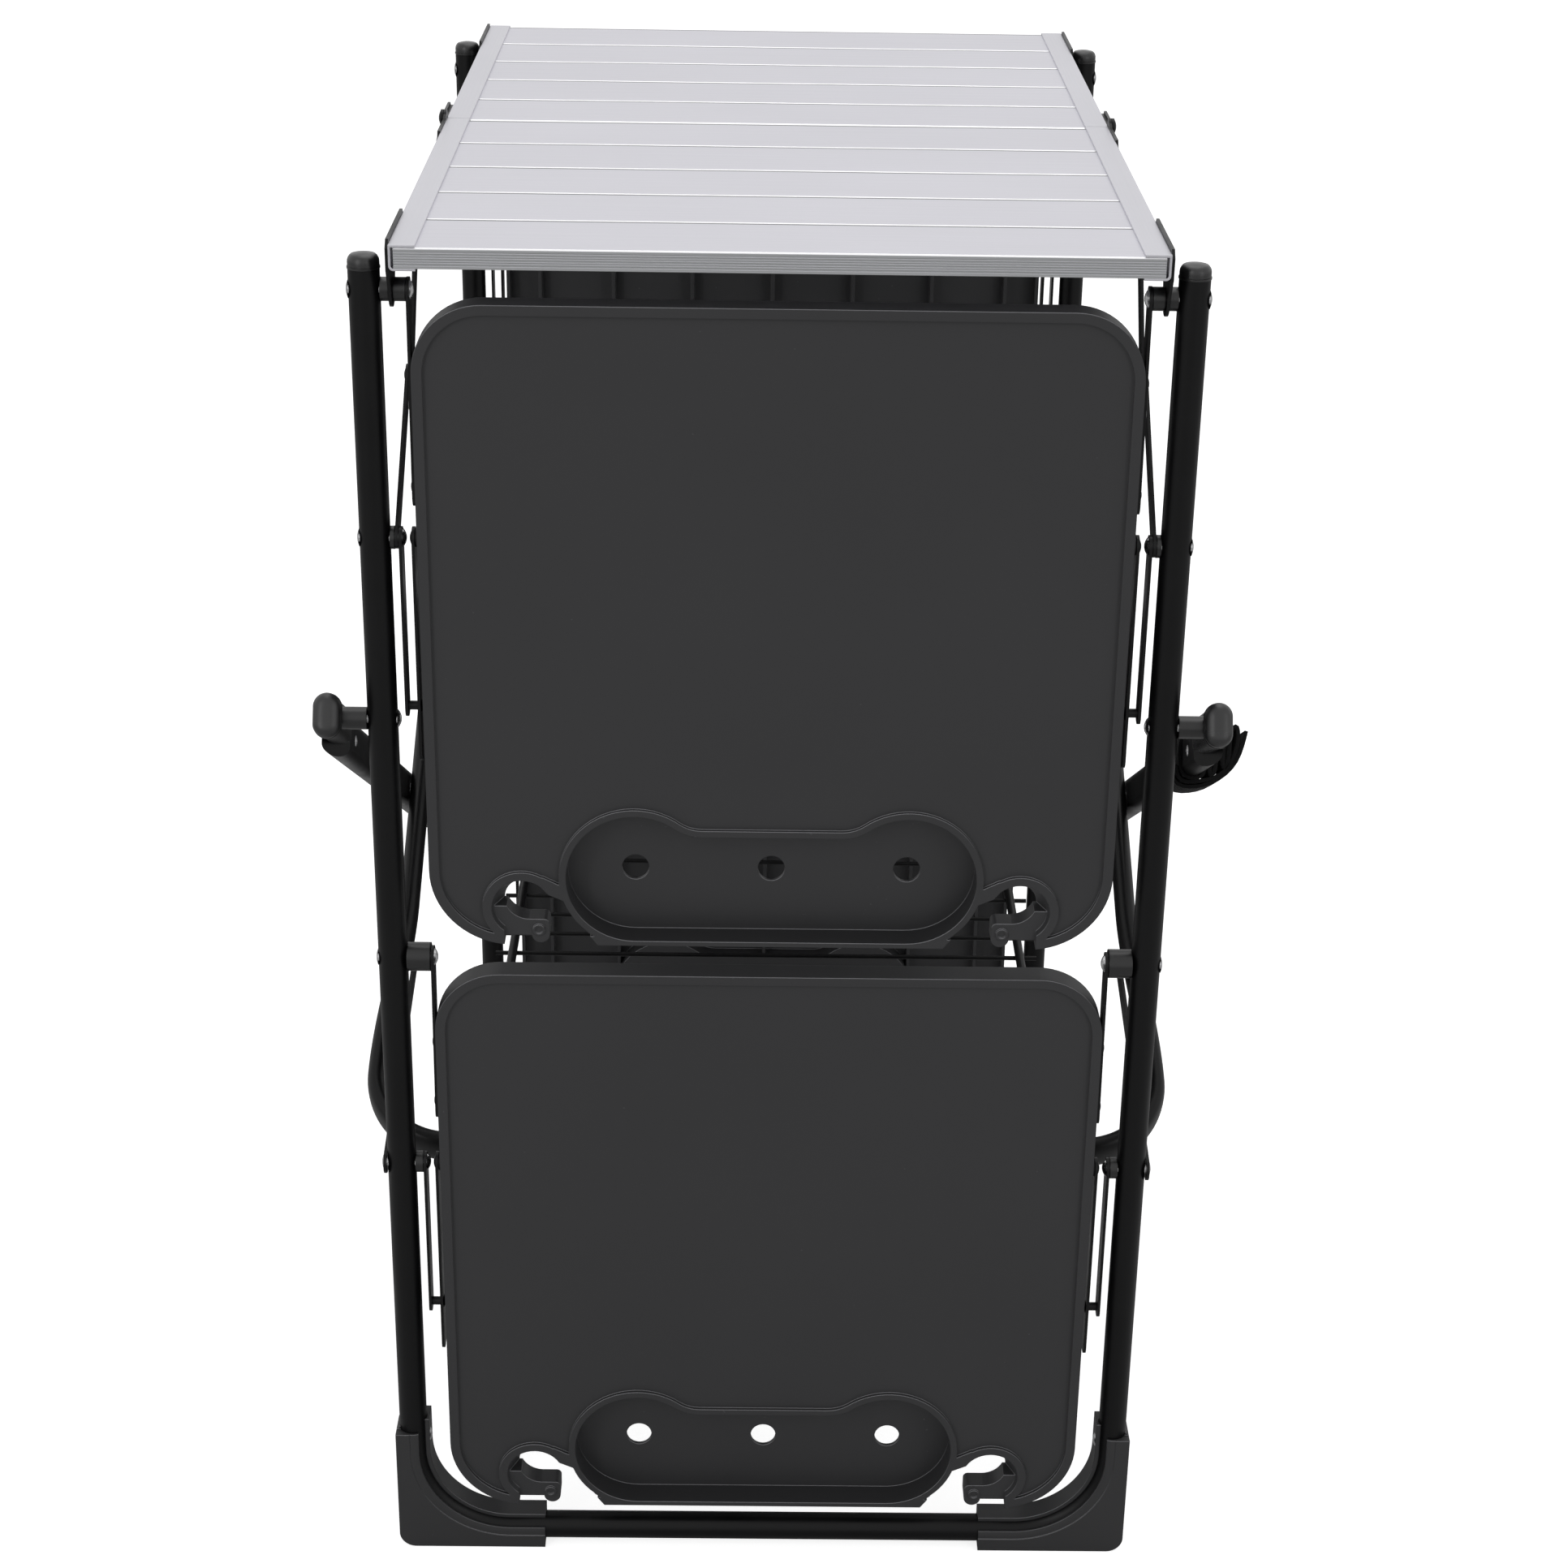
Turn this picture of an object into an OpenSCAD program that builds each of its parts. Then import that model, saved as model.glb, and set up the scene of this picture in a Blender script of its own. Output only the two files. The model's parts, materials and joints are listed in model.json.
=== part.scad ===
// Folding camping kitchen stand: slatted top hinged across its middle, two U-shaped leg frames,
// two crossing U frames under it, a wire rack and four side trays that hang folded down.
// Origin: on the floor under the middle of the stand. +X to the right, +Y away, +Z up.

/* [Leg frames] */
// Distance between the centres of the two legs of one frame
leg_spacing = 424; // [410:1:450]
// Distance between the near and the far leg frame when the stand is open
frame_spread = 586; // [560:1:620]
// Outer diameter of the leg tube
leg_tube_d = 16.5; // [15:0.5:17]
// From the upper face of the top down to the end of the leg tube
leg_drop = 16; // [14:0.5:20]
// Height of the centre of the bottom crossbar
crossbar_z = 10; // [9.8:0.1:12]
// Centre line radius of the two bottom bends
leg_bend_r = 58; // [50:1:64]
// Height of the domed rubber leg caps
cap_h = 8; // [7:0.5:10]

/* [Feet] */
// Height of the collar around the front of the leg
foot_collar_h = 82.6; // [76:0.2:86]
// Height of the collar behind the leg
foot_back_h = 90; // [86:0.5:96]
// Length of the foot along the crossbar
foot_len = 89; // [84:1:96]
// Width of the foot across the crossbar
foot_w = 20; // [19.8:0.1:22]
// Wall of the foot around the tube
foot_wall = 1.6; // [1.5:0.1:1.7]
// Radius of the inner edge of the front shell in the bend
foot_lip_r = 54.2; // [53:0.1:56]
// Radius of the inner edge of the back wall in the bend
foot_back_r = 48; // [46:0.5:49]

/* [Pivot heights] */
// From the upper face of the top down to the pivots of the top and of the upper trays
pivot_drop = 27; // [25:0.5:29]
// From there down to the pivots of the crossing frames
cross_drop = 238; // [232:1:244]
// Height of the free edge of the lower trays over the floor
tray_floor = 34; // [32:0.5:36]
// Gap between an upper and a lower tray
tray_gap = 19; // [17:0.5:23]

/* [Tabletop] */
// Height of the upper face of the side rails
top_z = 813; // [780:1:850]
// Room between the middle of a leg and the side rail
rail_room = 14.8; // [14.6:0.1:18]
// How far the top reaches past the leg frames
top_overhang = 17.6; // [14:0.2:19]
// Slats in each half of the top
slats_per_half = 5; // [3:1:5]
// Height of the side rails
rail_h = 13.2; // [12.6:0.2:13.4]
// Width of the rail flanges
rail_flange = 13.5; // [10:0.5:18]
// Wall of the rails and slats
rail_wall = 1.2; // [1:0.1:1.6]
// Gap between slats
slat_gap = 0.9; // [0.4:0.1:1.2]
// Gap between the ends of the slats and the web of the side rails
slat_end_gap = 1.3; // [1.3:0.1:2]
// Bevel along the upper edges of the slats
slat_bevel = 0.7; // [0.4:0.1:1]
// Outer radius at the lower edge of the side rails
rail_r = 2.5; // [1.5:0.1:3]

/* [Crossing frames] */
// Width of the flat-oval tube
bar_w = 12; // [11:0.5:13]
// Depth of the flat-oval tube
bar_d = 25; // [22:0.5:27]
// Distance from the pivot to the crossbar of a crossing frame
cross_len = 608; // [598:1:612]
// Height of the crossbars when the stand is open
rack_bar_z = 243; // [238:1:250]
// How far the tube runs below its pivot
bar_drop = 5.8; // [4:0.2:8]
// Centre line radius of the bends
cross_bend_r = 47; // [38:1:50]
// Width of the rubber end caps
end_cap_w = 15; // [14.5:0.1:15]
// Depth of the rubber end caps
end_cap_d = 24.5; // [23.5:0.5:26]

/* [Trays] */
// Room between the middle of a leg and the side of a tray
tray_room = 23.3; // [23:0.1:27]
// Distance from the tray pivot down to the edge of the tray
tray_edge_drop = 4.5; // [3:0.5:6]
// How far the tray front stands before the leg frame
tray_front = 12.5; // [11.5:0.1:12.6]
// Thickness of the tray over its rim
tray_t = 15.5; // [14.5:0.5:16.5]
// Width of the raised rim
rim_w = 5.7; // [4.5:0.1:7]
// Depth of the recessed field
field_depth = 2; // [1.2:0.1:2.5]
// Wall of the moulded trays
tray_wall = 2.5; // [2:0.1:3]
// Radius of the two tray corners at the hinge side
tray_r_in = 37; // [34:1:42]
// Radius of the two tray corners at the free side
tray_r_out = 45; // [40:1:48]

/* [Tray bowl] */
// Distance between the centres of the two round ends
bowl_spacing = 151; // [145:1:158]
// Height of the bowl centre line over the free edge
bowl_up = 41; // [40.5:0.5:44]
// Radius of the round ends
bowl_r = 38; // [35:0.5:38]
// Height of the straight edge over the centre line
bowl_waist = 26; // [22:1:28]
// Fillet between the straight edge and the round ends
bowl_fillet_r = 25; // [22:1:30]
// Width of the raised rim around the bowl
bowl_rim = 4; // [3:0.1:4]
// Depth of the bowl
bowl_depth = 16.5; // [14:0.5:17]
// Diameter of the drain holes
drain_d = 15; // [10:1:18]

/* [Tray hooks] */
// Distance of the hook centres from the middle of the tray
hook_x = 138; // [137:0.5:141]
// Height of the hook centres over the free edge
hook_up = 22.5; // [20.5:0.1:23]
// Radius of the hook opening at the front
hook_r = 17; // [16:0.5:18]
// Radius of the hook opening at the back
hook_back_r = 10.5; // [9:0.5:13]
// Distance from the hook centre out to the end of the gap under it
hook_slot = 10; // [8:0.5:10.5]
// Length of the hook arm
hook_arm = 25; // [22:0.5:26]
// Height of the hook arm
hook_arm_h = 10; // [8:0.5:10.5]
// Radius of the knob at the end of the arm
knob_r = 5; // [4.5:0.1:5.5]

/* [Links and bars] */
// Thickness of all flat links, bars and plates
link_t = 1.6; // [1.2:0.1:1.7]
// Width of the flat links
link_w = 12; // [10:0.5:13]
// Distance from the tray pivots to the strut pivots
strut_drop = 134; // [130:1:138]
// How much longer each strut is than half the stretched distance between its pivots
strut_slack = 1.25; // [0.8:0.05:5]
// Tab of the tray strut beyond its elbow
strut_tab = 26; // [16:1:30]
// How much longer each brace link is than half the distance between its pivots
brace_slack = 0.75; // [0.4:0.05:4]
// Distance along the top from its pivot to the brace pivot
brace_reach = 130; // [126:1:131]
// Length of the upper tray bars below their pivot
bar_len_up = 108; // [96:1:116]
// Length of the lower tray bars below their pivot
bar_len_low = 94; // [84:1:104]

/* [Fasteners] */
// Radius of the pivot bolts
bolt_r = 3; // [2.5:0.1:3.2]
// Radius of the bolt heads
head_r = 5; // [4.5:0.1:5.5]
// Height of the bolt heads
head_h = 2; // [1.4:0.1:2.2]
// Radius of the rivets
rivet_r = 2.5; // [2:0.1:2.8]
// Height of the rivet heads
rivet_head_h = 1.3; // [1:0.1:1.4]

/* [Rack] */
// Room between the middle of a leg and the side rod
rack_room = 42; // [38:1:48]
// Diameter of the side rods
rack_rod_d = 6; // [5:0.2:6.4]
// Diameter of the cross wires
rack_wire_d = 3; // [2.4:0.1:4]
// Distance between a crossbar and the nearest cross wire
rack_bar_gap = 30; // [20:1:40]
// How far the cross wires reach past the rods
rack_wire_end = 12; // [6:0.5:12]
// Number of cross wires
rack_wires_n = 15; // [9:1:15]
// How far the side rods reach past the middle of each crossbar
rack_rod_end = 10; // [6:0.5:12]

/* [Strap] */
// Width of the webbing strap
strap_w = 30; // [20:1:34]
// Thickness of the webbing
strap_t = 1.8; // [1.2:0.1:2]
// Distance of the strap from the pivot, along the frame
strap_at = 85; // [75:1:100]

/* [Fold] */
// Angle that the near half of the top turns through when the stand folds
fold_angle = 82.5; // [74:0.5:84]

/* [Clearances] */
// Sideways gap between parts that turn against each other
side_gap = 0.3; // [0.2:0.05:0.35]
// Gap between a riveted part and its seat
seat_gap = 0.1; // [0.05:0.05:0.15]
// Radial gap of a pivot in its eye
run_gap = 0.08; // [0.04:0.01:0.1]

/* [Hidden] */
$fn = 48;
EPS = 0.01;

// Heights of the pivots and of the leg ends
top_pivot_z = top_z - pivot_drop;
brace_pivot_z = top_pivot_z - strut_drop;
cross_pivot_z = top_pivot_z - cross_drop;
tray_len = (top_pivot_z - tray_edge_drop - tray_gap - tray_floor) / 2;
low_tray_pivot_z = tray_floor + tray_len + tray_edge_drop;
link_pivot_z = low_tray_pivot_z - strut_drop;
leg_top = top_z - leg_drop;

// Widths that follow the legs
top_w = leg_spacing - 2 * rail_room;
tray_w = leg_spacing - 2 * tray_room;
rack_spacing = leg_spacing - 2 * rack_room;

// Places of the leg frames
leg_x = leg_spacing / 2;
leg_y = frame_spread / 2;
leg_r = leg_tube_d / 2;
leg_in = leg_x - leg_r;
leg_out = leg_x + leg_r;
bend_top = crossbar_z + leg_bend_r;
bend_x = leg_x - leg_bend_r;

// Sideways stack between a leg and the middle, all measured from the middle plane
rail_out = top_w / 2;
plate_in = rail_out + seat_gap;
plate_out = plate_in + link_t;
far_plate_in = plate_out + side_gap;
far_plate_out = far_plate_in + link_t;
washer_t = 2.4;
washer_in = leg_in - washer_t;
brace_low_out = washer_in - side_gap;
brace_low_in = brace_low_out - link_t;
brace_up_out = brace_low_in - side_gap;
brace_up_in = brace_up_out - link_t;
leg_strut_out = brace_low_in - side_gap - seat_gap;
leg_strut_in = leg_strut_out - link_t;
bar_in = tray_w / 2 + seat_gap;
bar_out = bar_in + link_t;
tray_strut_in = bar_out + side_gap;
tray_strut_out = tray_strut_in + link_t;

// Sideways stack outside the legs
bar_space = 0.5;
near_link_in = leg_out + side_gap;
near_link_out = near_link_in + link_t;
inner_bar_in = near_link_out + side_gap;
outer_bar_in = inner_bar_in + bar_w + bar_space;
far_link_out = outer_bar_in - side_gap;
far_link_in = far_link_out - link_t;
inner_bar_x = inner_bar_in + bar_w / 2;
outer_bar_x = outer_bar_in + bar_w / 2;

// Tabletop
top_half_len = leg_y + top_overhang;
top_thick = rail_h - 2 * rail_wall;
slat_top = top_z - rail_wall;
slat_pitch = (top_half_len - slat_gap / 2) / slats_per_half;
slat_half_len = rail_out - rail_wall - slat_end_gap;
hinge_eye_r = 5;
hinge_pin_r = rivet_r;
hinge_plate_len = 46;

// Crossing frames: slope when open, place of their crossing, and slope when folded
cross_reach = sqrt(pow(cross_len, 2) + pow(bar_drop, 2));
cross_slope = asin((cross_pivot_z - rack_bar_z) / cross_reach) - atan(bar_drop / cross_len);
cross_at = (leg_y + bar_drop * sin(cross_slope)) / cos(cross_slope);
top_arm = sqrt(pow(leg_y, 2) + pow(top_z - top_pivot_z, 2));
top_arm_angle = atan((top_z - top_pivot_z) / leg_y);
folded_spread = 2 * top_arm * cos(fold_angle - top_arm_angle);
cross_arm = sqrt(pow(cross_at, 2) + pow(bar_drop, 2));
folded_slope = acos(folded_spread / 2 / cross_arm) - atan(bar_drop / cross_at);

// Lower links: the point on the opposite crossing frame that is as far from the link pivot
// when the stand is open as when it is folded
link_fall = cross_pivot_z - link_pivot_z;
function link_out(spread, slope) = spread + bar_drop * sin(slope);
function link_down(slope) = link_fall - bar_drop * cos(slope);
function link_sq(spread, slope) = pow(link_out(spread, slope), 2) + pow(link_down(slope), 2);
function link_mix(spread, slope) =
    link_out(spread, slope) * cos(slope) + link_down(slope) * sin(slope);
link_at = (link_sq(frame_spread, cross_slope) - link_sq(folded_spread, folded_slope))
    / (2 * (link_mix(frame_spread, cross_slope) - link_mix(folded_spread, folded_slope)));
link_y = frame_spread - link_at * cos(cross_slope) + bar_drop * sin(cross_slope);
link_z = cross_pivot_z - link_at * sin(cross_slope) - bar_drop * cos(cross_slope);

// Braces: pivot on the top, and the elbow that hangs below the line between the two pivots
brace_below_rail = 4.4;
brace_top_z = top_z - rail_h / 2 - brace_below_rail;
brace_rise = brace_top_z - brace_pivot_z;
brace_span = sqrt(pow(brace_reach, 2) + pow(brace_rise, 2));
brace_len = brace_span / 2 + brace_slack;
brace_sag = sqrt(pow(brace_len, 2) - pow(brace_span / 2, 2));
elbow_y = brace_reach / 2 + brace_sag * brace_rise / brace_span;
elbow_z = brace_pivot_z + brace_rise / 2 - brace_sag * brace_reach / brace_span;

// Struts of the trays
strut_len = strut_drop / sqrt(2) + strut_slack;

// Frame ends
stub_w = bar_w + 1;
stub_d = end_cap_d - 1.5;
stub_front = 6.6;
cap_rim = 0.25;
cap_rim_len = 1.4;
stub_back = 42;
cap_front = 16;
bar_start = 14;
bevel_len = 26;
frame_screw_at = 65;

// Rack: its side rods lie on the two crossbars, its cross wires hang under the rods
rack_bar_y = cross_len * cos(cross_slope) - bar_drop * sin(cross_slope) - leg_y;
rod_r = rack_rod_d / 2;
bar_top_rise = (bar_d - bar_w) / 2 * cos(cross_slope) + bar_w / 2;
rack_z = rack_bar_z + bar_top_rise + side_gap + rod_r;
rack_end = rack_bar_y + rack_rod_end;
rack_pitch = 2 * (rack_bar_y - rack_bar_gap) / (rack_wires_n - 1);

// Placing helpers

// Children and their mirror image on the other side of the middle plane
module both_sides() {
    children();
    mirror([1, 0, 0]) children();
}

// Children drawn for the near end, moved to the leg frame at the near or the far end
module at_end(far) {
    if (far) mirror([0, 1, 0]) translate([0, -leg_y, 0]) children();
    else translate([0, -leg_y, 0]) children();
}

// A flat shape drawn in Y and Z, standing between two planes of X
module plate(x0, x1) {
    translate([x0, 0, 0]) rotate([90, 0, 90]) linear_extrude(x1 - x0) children();
}

// A round bar along X at a point of the YZ plane
module x_bar(x0, x1, at, r) {
    translate([x0, at[0], at[1]]) rotate([0, 90, 0]) cylinder(h = x1 - x0, r = r);
}

// A domed head on a bar along X, from its seat at x0 towards +X or -X
module x_head(x0, at, r, h, dir) {
    ball_r = (r * r + h * h) / (2 * h);
    translate([x0, at[0], at[1]]) rotate([0, dir * 90, 0]) rotate_extrude()
        intersection() {
            translate([0, h - ball_r]) circle(r = ball_r, $fn = 96);
            square([r, h]);
        }
}

// A strip with round ends between two points
module strip(a, b, w) {
    run = norm(b - a);
    turn = atan2(b[1] - a[1], b[0] - a[0]);
    translate(a) rotate(turn) {
        translate([0, -w / 2]) square([run, w]);
        circle(d = w);
        translate([run, 0]) circle(d = w);
    }
}

// A stadium, w wide and d high
module stadium(w, d) {
    translate([-w / 2, -(d - w) / 2]) square([w, d - w]);
    translate([0, (d - w) / 2]) circle(d = w);
    translate([0, -(d - w) / 2]) circle(d = w);
}

// Leg frames

// The bent tube of a leg frame, with radius r
module leg_path(r) {
    both_sides() {
        translate([leg_x, 0, bend_top]) cylinder(h = leg_top - bend_top, r = r);
        translate([leg_x - leg_bend_r, 0, bend_top]) rotate([90, 0, 0]) rotate([0, 0, -90])
            rotate_extrude(angle = 90) translate([leg_bend_r, 0]) circle(r = r);
    }
    translate([-(leg_x - leg_bend_r), 0, crossbar_z]) rotate([0, 90, 0])
        cylinder(h = 2 * (leg_x - leg_bend_r), r = r);
}

leg_pivots = [top_pivot_z, brace_pivot_z, cross_pivot_z, low_tray_pivot_z, link_pivot_z];
foot_screw_grip = 3;

module leg_tube(far) {
    color("#161617") at_end(far) difference() {
        leg_path(leg_r);
        both_sides() {
            for (z = leg_pivots)
                x_bar(leg_in - 1, leg_out + 1, [0, z], bolt_r + run_gap);
            x_bar(leg_in - 1, leg_in + foot_screw_grip, [0, foot_screw_z], rivet_r + run_gap);
        }
    }
}

// Section of a leg cap: a thin rim on the tube and a dome with a round shoulder
module cap_section() {
    rim_h = 1;
    rim_over = 0.35;
    shoulder_r = 4.6;
    crown_r = 22;
    square([leg_r + rim_over, rim_h]);
    square([leg_r - 0.1, rim_h + 0.5]);
    intersection() {
        translate([0, rim_h + 0.3]) union() {
            square([leg_r - shoulder_r, cap_h - rim_h - 0.3]);
            square([leg_r, cap_h - rim_h - 0.3 - shoulder_r]);
            translate([leg_r - shoulder_r, cap_h - rim_h - 0.3 - shoulder_r]) circle(r = shoulder_r);
        }
        translate([0, cap_h - crown_r]) circle(r = crown_r, $fn = 96);
        square([leg_r + 1, cap_h + 1]);
    }
}

module leg_caps(far) {
    color("#2b2b2d") at_end(far) both_sides()
        translate([leg_x, 0, leg_top]) rotate_extrude() cap_section();
}

// Feet
shell_r = leg_r + foot_wall;
foot_out = leg_x + foot_w / 2;
foot_inner_x = foot_out - foot_len;
foot_corner_r = 10;
foot_ridge = 1.5;
foot_web_r = leg_bend_r + foot_ridge;
foot_back_x = bend_x + foot_back_r;
foot_back_from = -4;
foot_back_bevel = 7.4;
foot_screw_z = foot_collar_h - 6;

// Side view of a foot up to height h, outside radius r about the centre of the tube bend
module foot_area(r, h) {
    difference() {
        union() {
            translate([foot_inner_x, 0]) square([foot_len - foot_corner_r, h]);
            translate([foot_inner_x, foot_corner_r]) square([foot_len, h - foot_corner_r]);
            translate([foot_out - foot_corner_r, foot_corner_r]) circle(r = foot_corner_r);
        }
        translate([bend_x, bend_top]) circle(r = r, $fn = 96);
        translate([foot_inner_x - 1, bend_top - r]) square([bend_x - foot_inner_x + 1, h]);
        translate([foot_inner_x - 1, bend_top]) square([bend_x + r - foot_inner_x + 1, h]);
    }
}

// The side view drawn out between two places across the crossbar
module foot_slab(y0, y1) {
    translate([0, y1, 0]) rotate([90, 0, 0]) linear_extrude(y1 - y0) children();
}

// A foot: flat corner web and round shell in front, a higher wall behind and inside the leg
module foot(far, right) {
    color("#323234") at_end(far) mirror([right ? 0 : 1, 0, 0]) difference() {
        union() {
            foot_slab(-foot_w / 2, 1) foot_area(foot_web_r, foot_collar_h);
            foot_slab(foot_back_from, foot_w / 2) difference() {
                foot_area(foot_back_r, foot_back_h);
                translate([foot_out, foot_back_h - foot_back_bevel]) rotate(45)
                    square(2 * foot_back_bevel);
            }
            intersection() {
                leg_path(shell_r);
                foot_slab(-foot_w / 2 - 1, 1) foot_area(foot_lip_r, foot_collar_h);
            }
        }
        leg_path(leg_r + run_gap);
        x_bar(foot_back_x - 5, leg_in + 1, [0, foot_screw_z], rivet_r + run_gap);
    }
}

// Spacers and washers on the pivot bolts of a leg frame

spacer_r = 6.2;
long_spacer_r = 8.2;
outer_head_h = 1.2;

module tube_spacer(x0, x1, z, r) {
    difference() {
        x_bar(x0, x1, [0, z], r);
        x_bar(x0 - 1, x1 + 1, [0, z], bolt_r + run_gap);
    }
}

// Where the spacer of the crossing frame pivot ends, which differs between the two ends
function cross_spacer_end(far) =
    (far ? inner_bar_x : outer_bar_x) - stub_w / 2 - side_gap;

// Where the spacer under the lower link ends
function link_spacer_end(far) = far_link_in - side_gap;

module bushings(far) {
    color("#1b1b1c") at_end(far) both_sides() {
        tube_spacer(plate_out + side_gap, leg_in, top_pivot_z, spacer_r);
        tube_spacer(tray_strut_in, plate_in - side_gap, top_pivot_z, spacer_r);
        tube_spacer(washer_in, leg_in, brace_pivot_z, spacer_r);
        tube_spacer(leg_out, cross_spacer_end(far), cross_pivot_z, spacer_r);
        tube_spacer(tray_strut_in, leg_in, low_tray_pivot_z, long_spacer_r);
        tube_spacer(leg_strut_out + side_gap, leg_in, link_pivot_z, spacer_r);
        if (far) tube_spacer(leg_out, link_spacer_end(far), link_pivot_z, spacer_r);
    }
}

// A pivot bolt from its inner head to its outer end
module pivot_bolt(head_x, end_x, z) {
    x_bar(head_x - EPS, end_x, [0, z], bolt_r);
    x_head(head_x, [0, z], head_r, head_h, -1);
}

// A pivot bolt that goes through the leg and has a low outer head on it
module leg_bolt(head_x, z) {
    pivot_bolt(head_x, leg_out + 2 * EPS, z);
    x_head(leg_out + EPS, [0, z], head_r, outer_head_h, 1);
}

module bolts(far) {
    link_out_x = far ? far_link_out : near_link_out;
    stub_in = cross_spacer_end(far) + side_gap;
    color("#b9babd") at_end(far) both_sides() {
        leg_bolt(bar_in - seat_gap, top_pivot_z);
        leg_bolt(leg_strut_in - side_gap, brace_pivot_z);
        pivot_bolt(leg_in, stub_in + bar_w / 2, cross_pivot_z);
        leg_bolt(bar_in - seat_gap, low_tray_pivot_z);
        pivot_bolt(leg_strut_in - side_gap, link_out_x + seat_gap, link_pivot_z);
        x_head(link_out_x + seat_gap - EPS, [0, link_pivot_z], head_r, rivet_head_h, 1);
        x_bar(foot_back_x - EPS, leg_in + foot_screw_grip - 1, [0, foot_screw_z], rivet_r);
        x_head(foot_back_x, [0, foot_screw_z], rivet_r + 1.4, rivet_head_h, -1);
    }
}

// Tabletop

groove_n = 6;
groove_depth = 0.3;
lip = 10;

// Section of a slat, its outer face at y = 0 and its top at z = 0
module slat_section() {
    w = slat_pitch - slat_gap;
    groove_pitch = (top_thick - 3) / groove_n;
    difference() {
        translate([0, -top_thick]) square([w, top_thick]);
        translate([rail_wall, -top_thick + rail_wall])
            square([w - 2 * rail_wall, top_thick - 2.2 * rail_wall]);
        translate([lip, -top_thick - 1]) square([w - 2 * lip, rail_wall + 2]);
        for (i = [0 : groove_n - 1])
            translate([-1, -2 - (i + 0.5) * groove_pitch])
                square([1 + groove_depth, groove_pitch / 2]);
        for (y = [0, w]) translate([y, 0]) rotate(45) square(sqrt(2) * slat_bevel, center = true);
    }
    for (y = [w / 3, 2 * w / 3])
        translate([y - rail_wall / 2, -top_thick * 0.55]) square([rail_wall, top_thick * 0.5]);
}

// Slat number i of a half, counted from its outer end
module slat(far, i) {
    color("#d5d4da") mirror([0, far ? 1 : 0, 0])
        translate([0, -top_half_len + (i - 1) * slat_pitch, slat_top])
            plate(-slat_half_len, slat_half_len) slat_section();
}

// Section of a side rail: a channel open towards the slats, its web at x = rail_flange
module rail_section() {
    inner_r = rail_r - rail_wall;
    difference() {
        union() {
            square([rail_flange - rail_r, rail_h]);
            translate([0, rail_r]) square([rail_flange, rail_h - rail_r]);
            translate([rail_flange - rail_r, rail_r]) circle(r = rail_r);
        }
        translate([-1, rail_wall]) square([rail_flange + 1 - rail_r, top_thick]);
        translate([-1, rail_r]) square([rail_flange + 1 - rail_wall, top_thick - inner_r]);
        translate([rail_flange - rail_r, rail_r]) circle(r = inner_r);
    }
}

module rails(far) {
    run = top_half_len - slat_gap / 2;
    color("#c9c9cf") mirror([0, far ? 1 : 0, 0]) both_sides()
        translate([rail_out - rail_flange, -top_half_len + run, top_z - rail_h]) rotate([90, 0, 0])
            linear_extrude(run) rail_section();
}

// Plate that hangs the top on the leg pivots, drawn about the pivot
plate_top = top_z - top_pivot_z + 2;
plate_low = top_z - top_pivot_z - rail_h;
plate_back = 58;
plate_rivet_y = [18, 46];
rail_mid = top_z - top_pivot_z - rail_h / 2;
eye_r = 9;
brace_pin = [brace_reach, brace_top_z - top_pivot_z];

module end_plate_outline() {
    front = top_overhang - 1;
    difference() {
        union() {
            circle(r = eye_r);
            polygon([
                [-eye_r, 0], [-front, plate_low], [-front, plate_top - 4], [-front + 4, plate_top],
                [plate_back - 5, plate_top], [plate_back, plate_top - 6],
                [plate_back, plate_low + 2], [eye_r + 6, plate_low], [eye_r, 0]
            ]);
        }
        circle(r = bolt_r + run_gap);
    }
}

module end_plates(far) {
    color("#1a1a1b") at_end(far) both_sides() translate([0, 0, top_pivot_z]) {
        plate(plate_in, plate_out) end_plate_outline();
        for (y = plate_rivet_y)
            x_head(plate_out - EPS, [y, rail_mid], rivet_r + 2, rivet_head_h, 1);
        x_bar(rail_out, brace_up_out + seat_gap, brace_pin, rivet_r);
        x_head(brace_up_out + seat_gap - EPS, brace_pin, rivet_r + 1.8, rivet_head_h, 1);
    }
}

// Mid hinge: the near plates carry the pins, the far plates turn outside them
hinge_low = top_z - rail_h - 1;

module near_mid_hinge() {
    color("#1a1a1b") both_sides() {
        plate(plate_in, plate_out) {
            translate([0, top_z]) circle(r = hinge_eye_r);
            polygon([
                [0, top_z - hinge_eye_r], [0, top_z + hinge_eye_r], [-8, top_z + 1],
                [-hinge_plate_len + 4, top_z + 1], [-hinge_plate_len, top_z - 4],
                [-hinge_plate_len, hinge_low], [-8, hinge_low]
            ]);
        }
        x_bar(plate_out - EPS, far_plate_out + seat_gap, [0, top_z], hinge_pin_r);
        x_head(far_plate_out + seat_gap - EPS, [0, top_z], hinge_eye_r - 0.5, rivet_head_h, 1);
        for (y = [-18, -38])
            x_head(plate_out - EPS, [y, top_z - rail_h / 2], rivet_r + 2, rivet_head_h, 1);
    }
}

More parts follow.
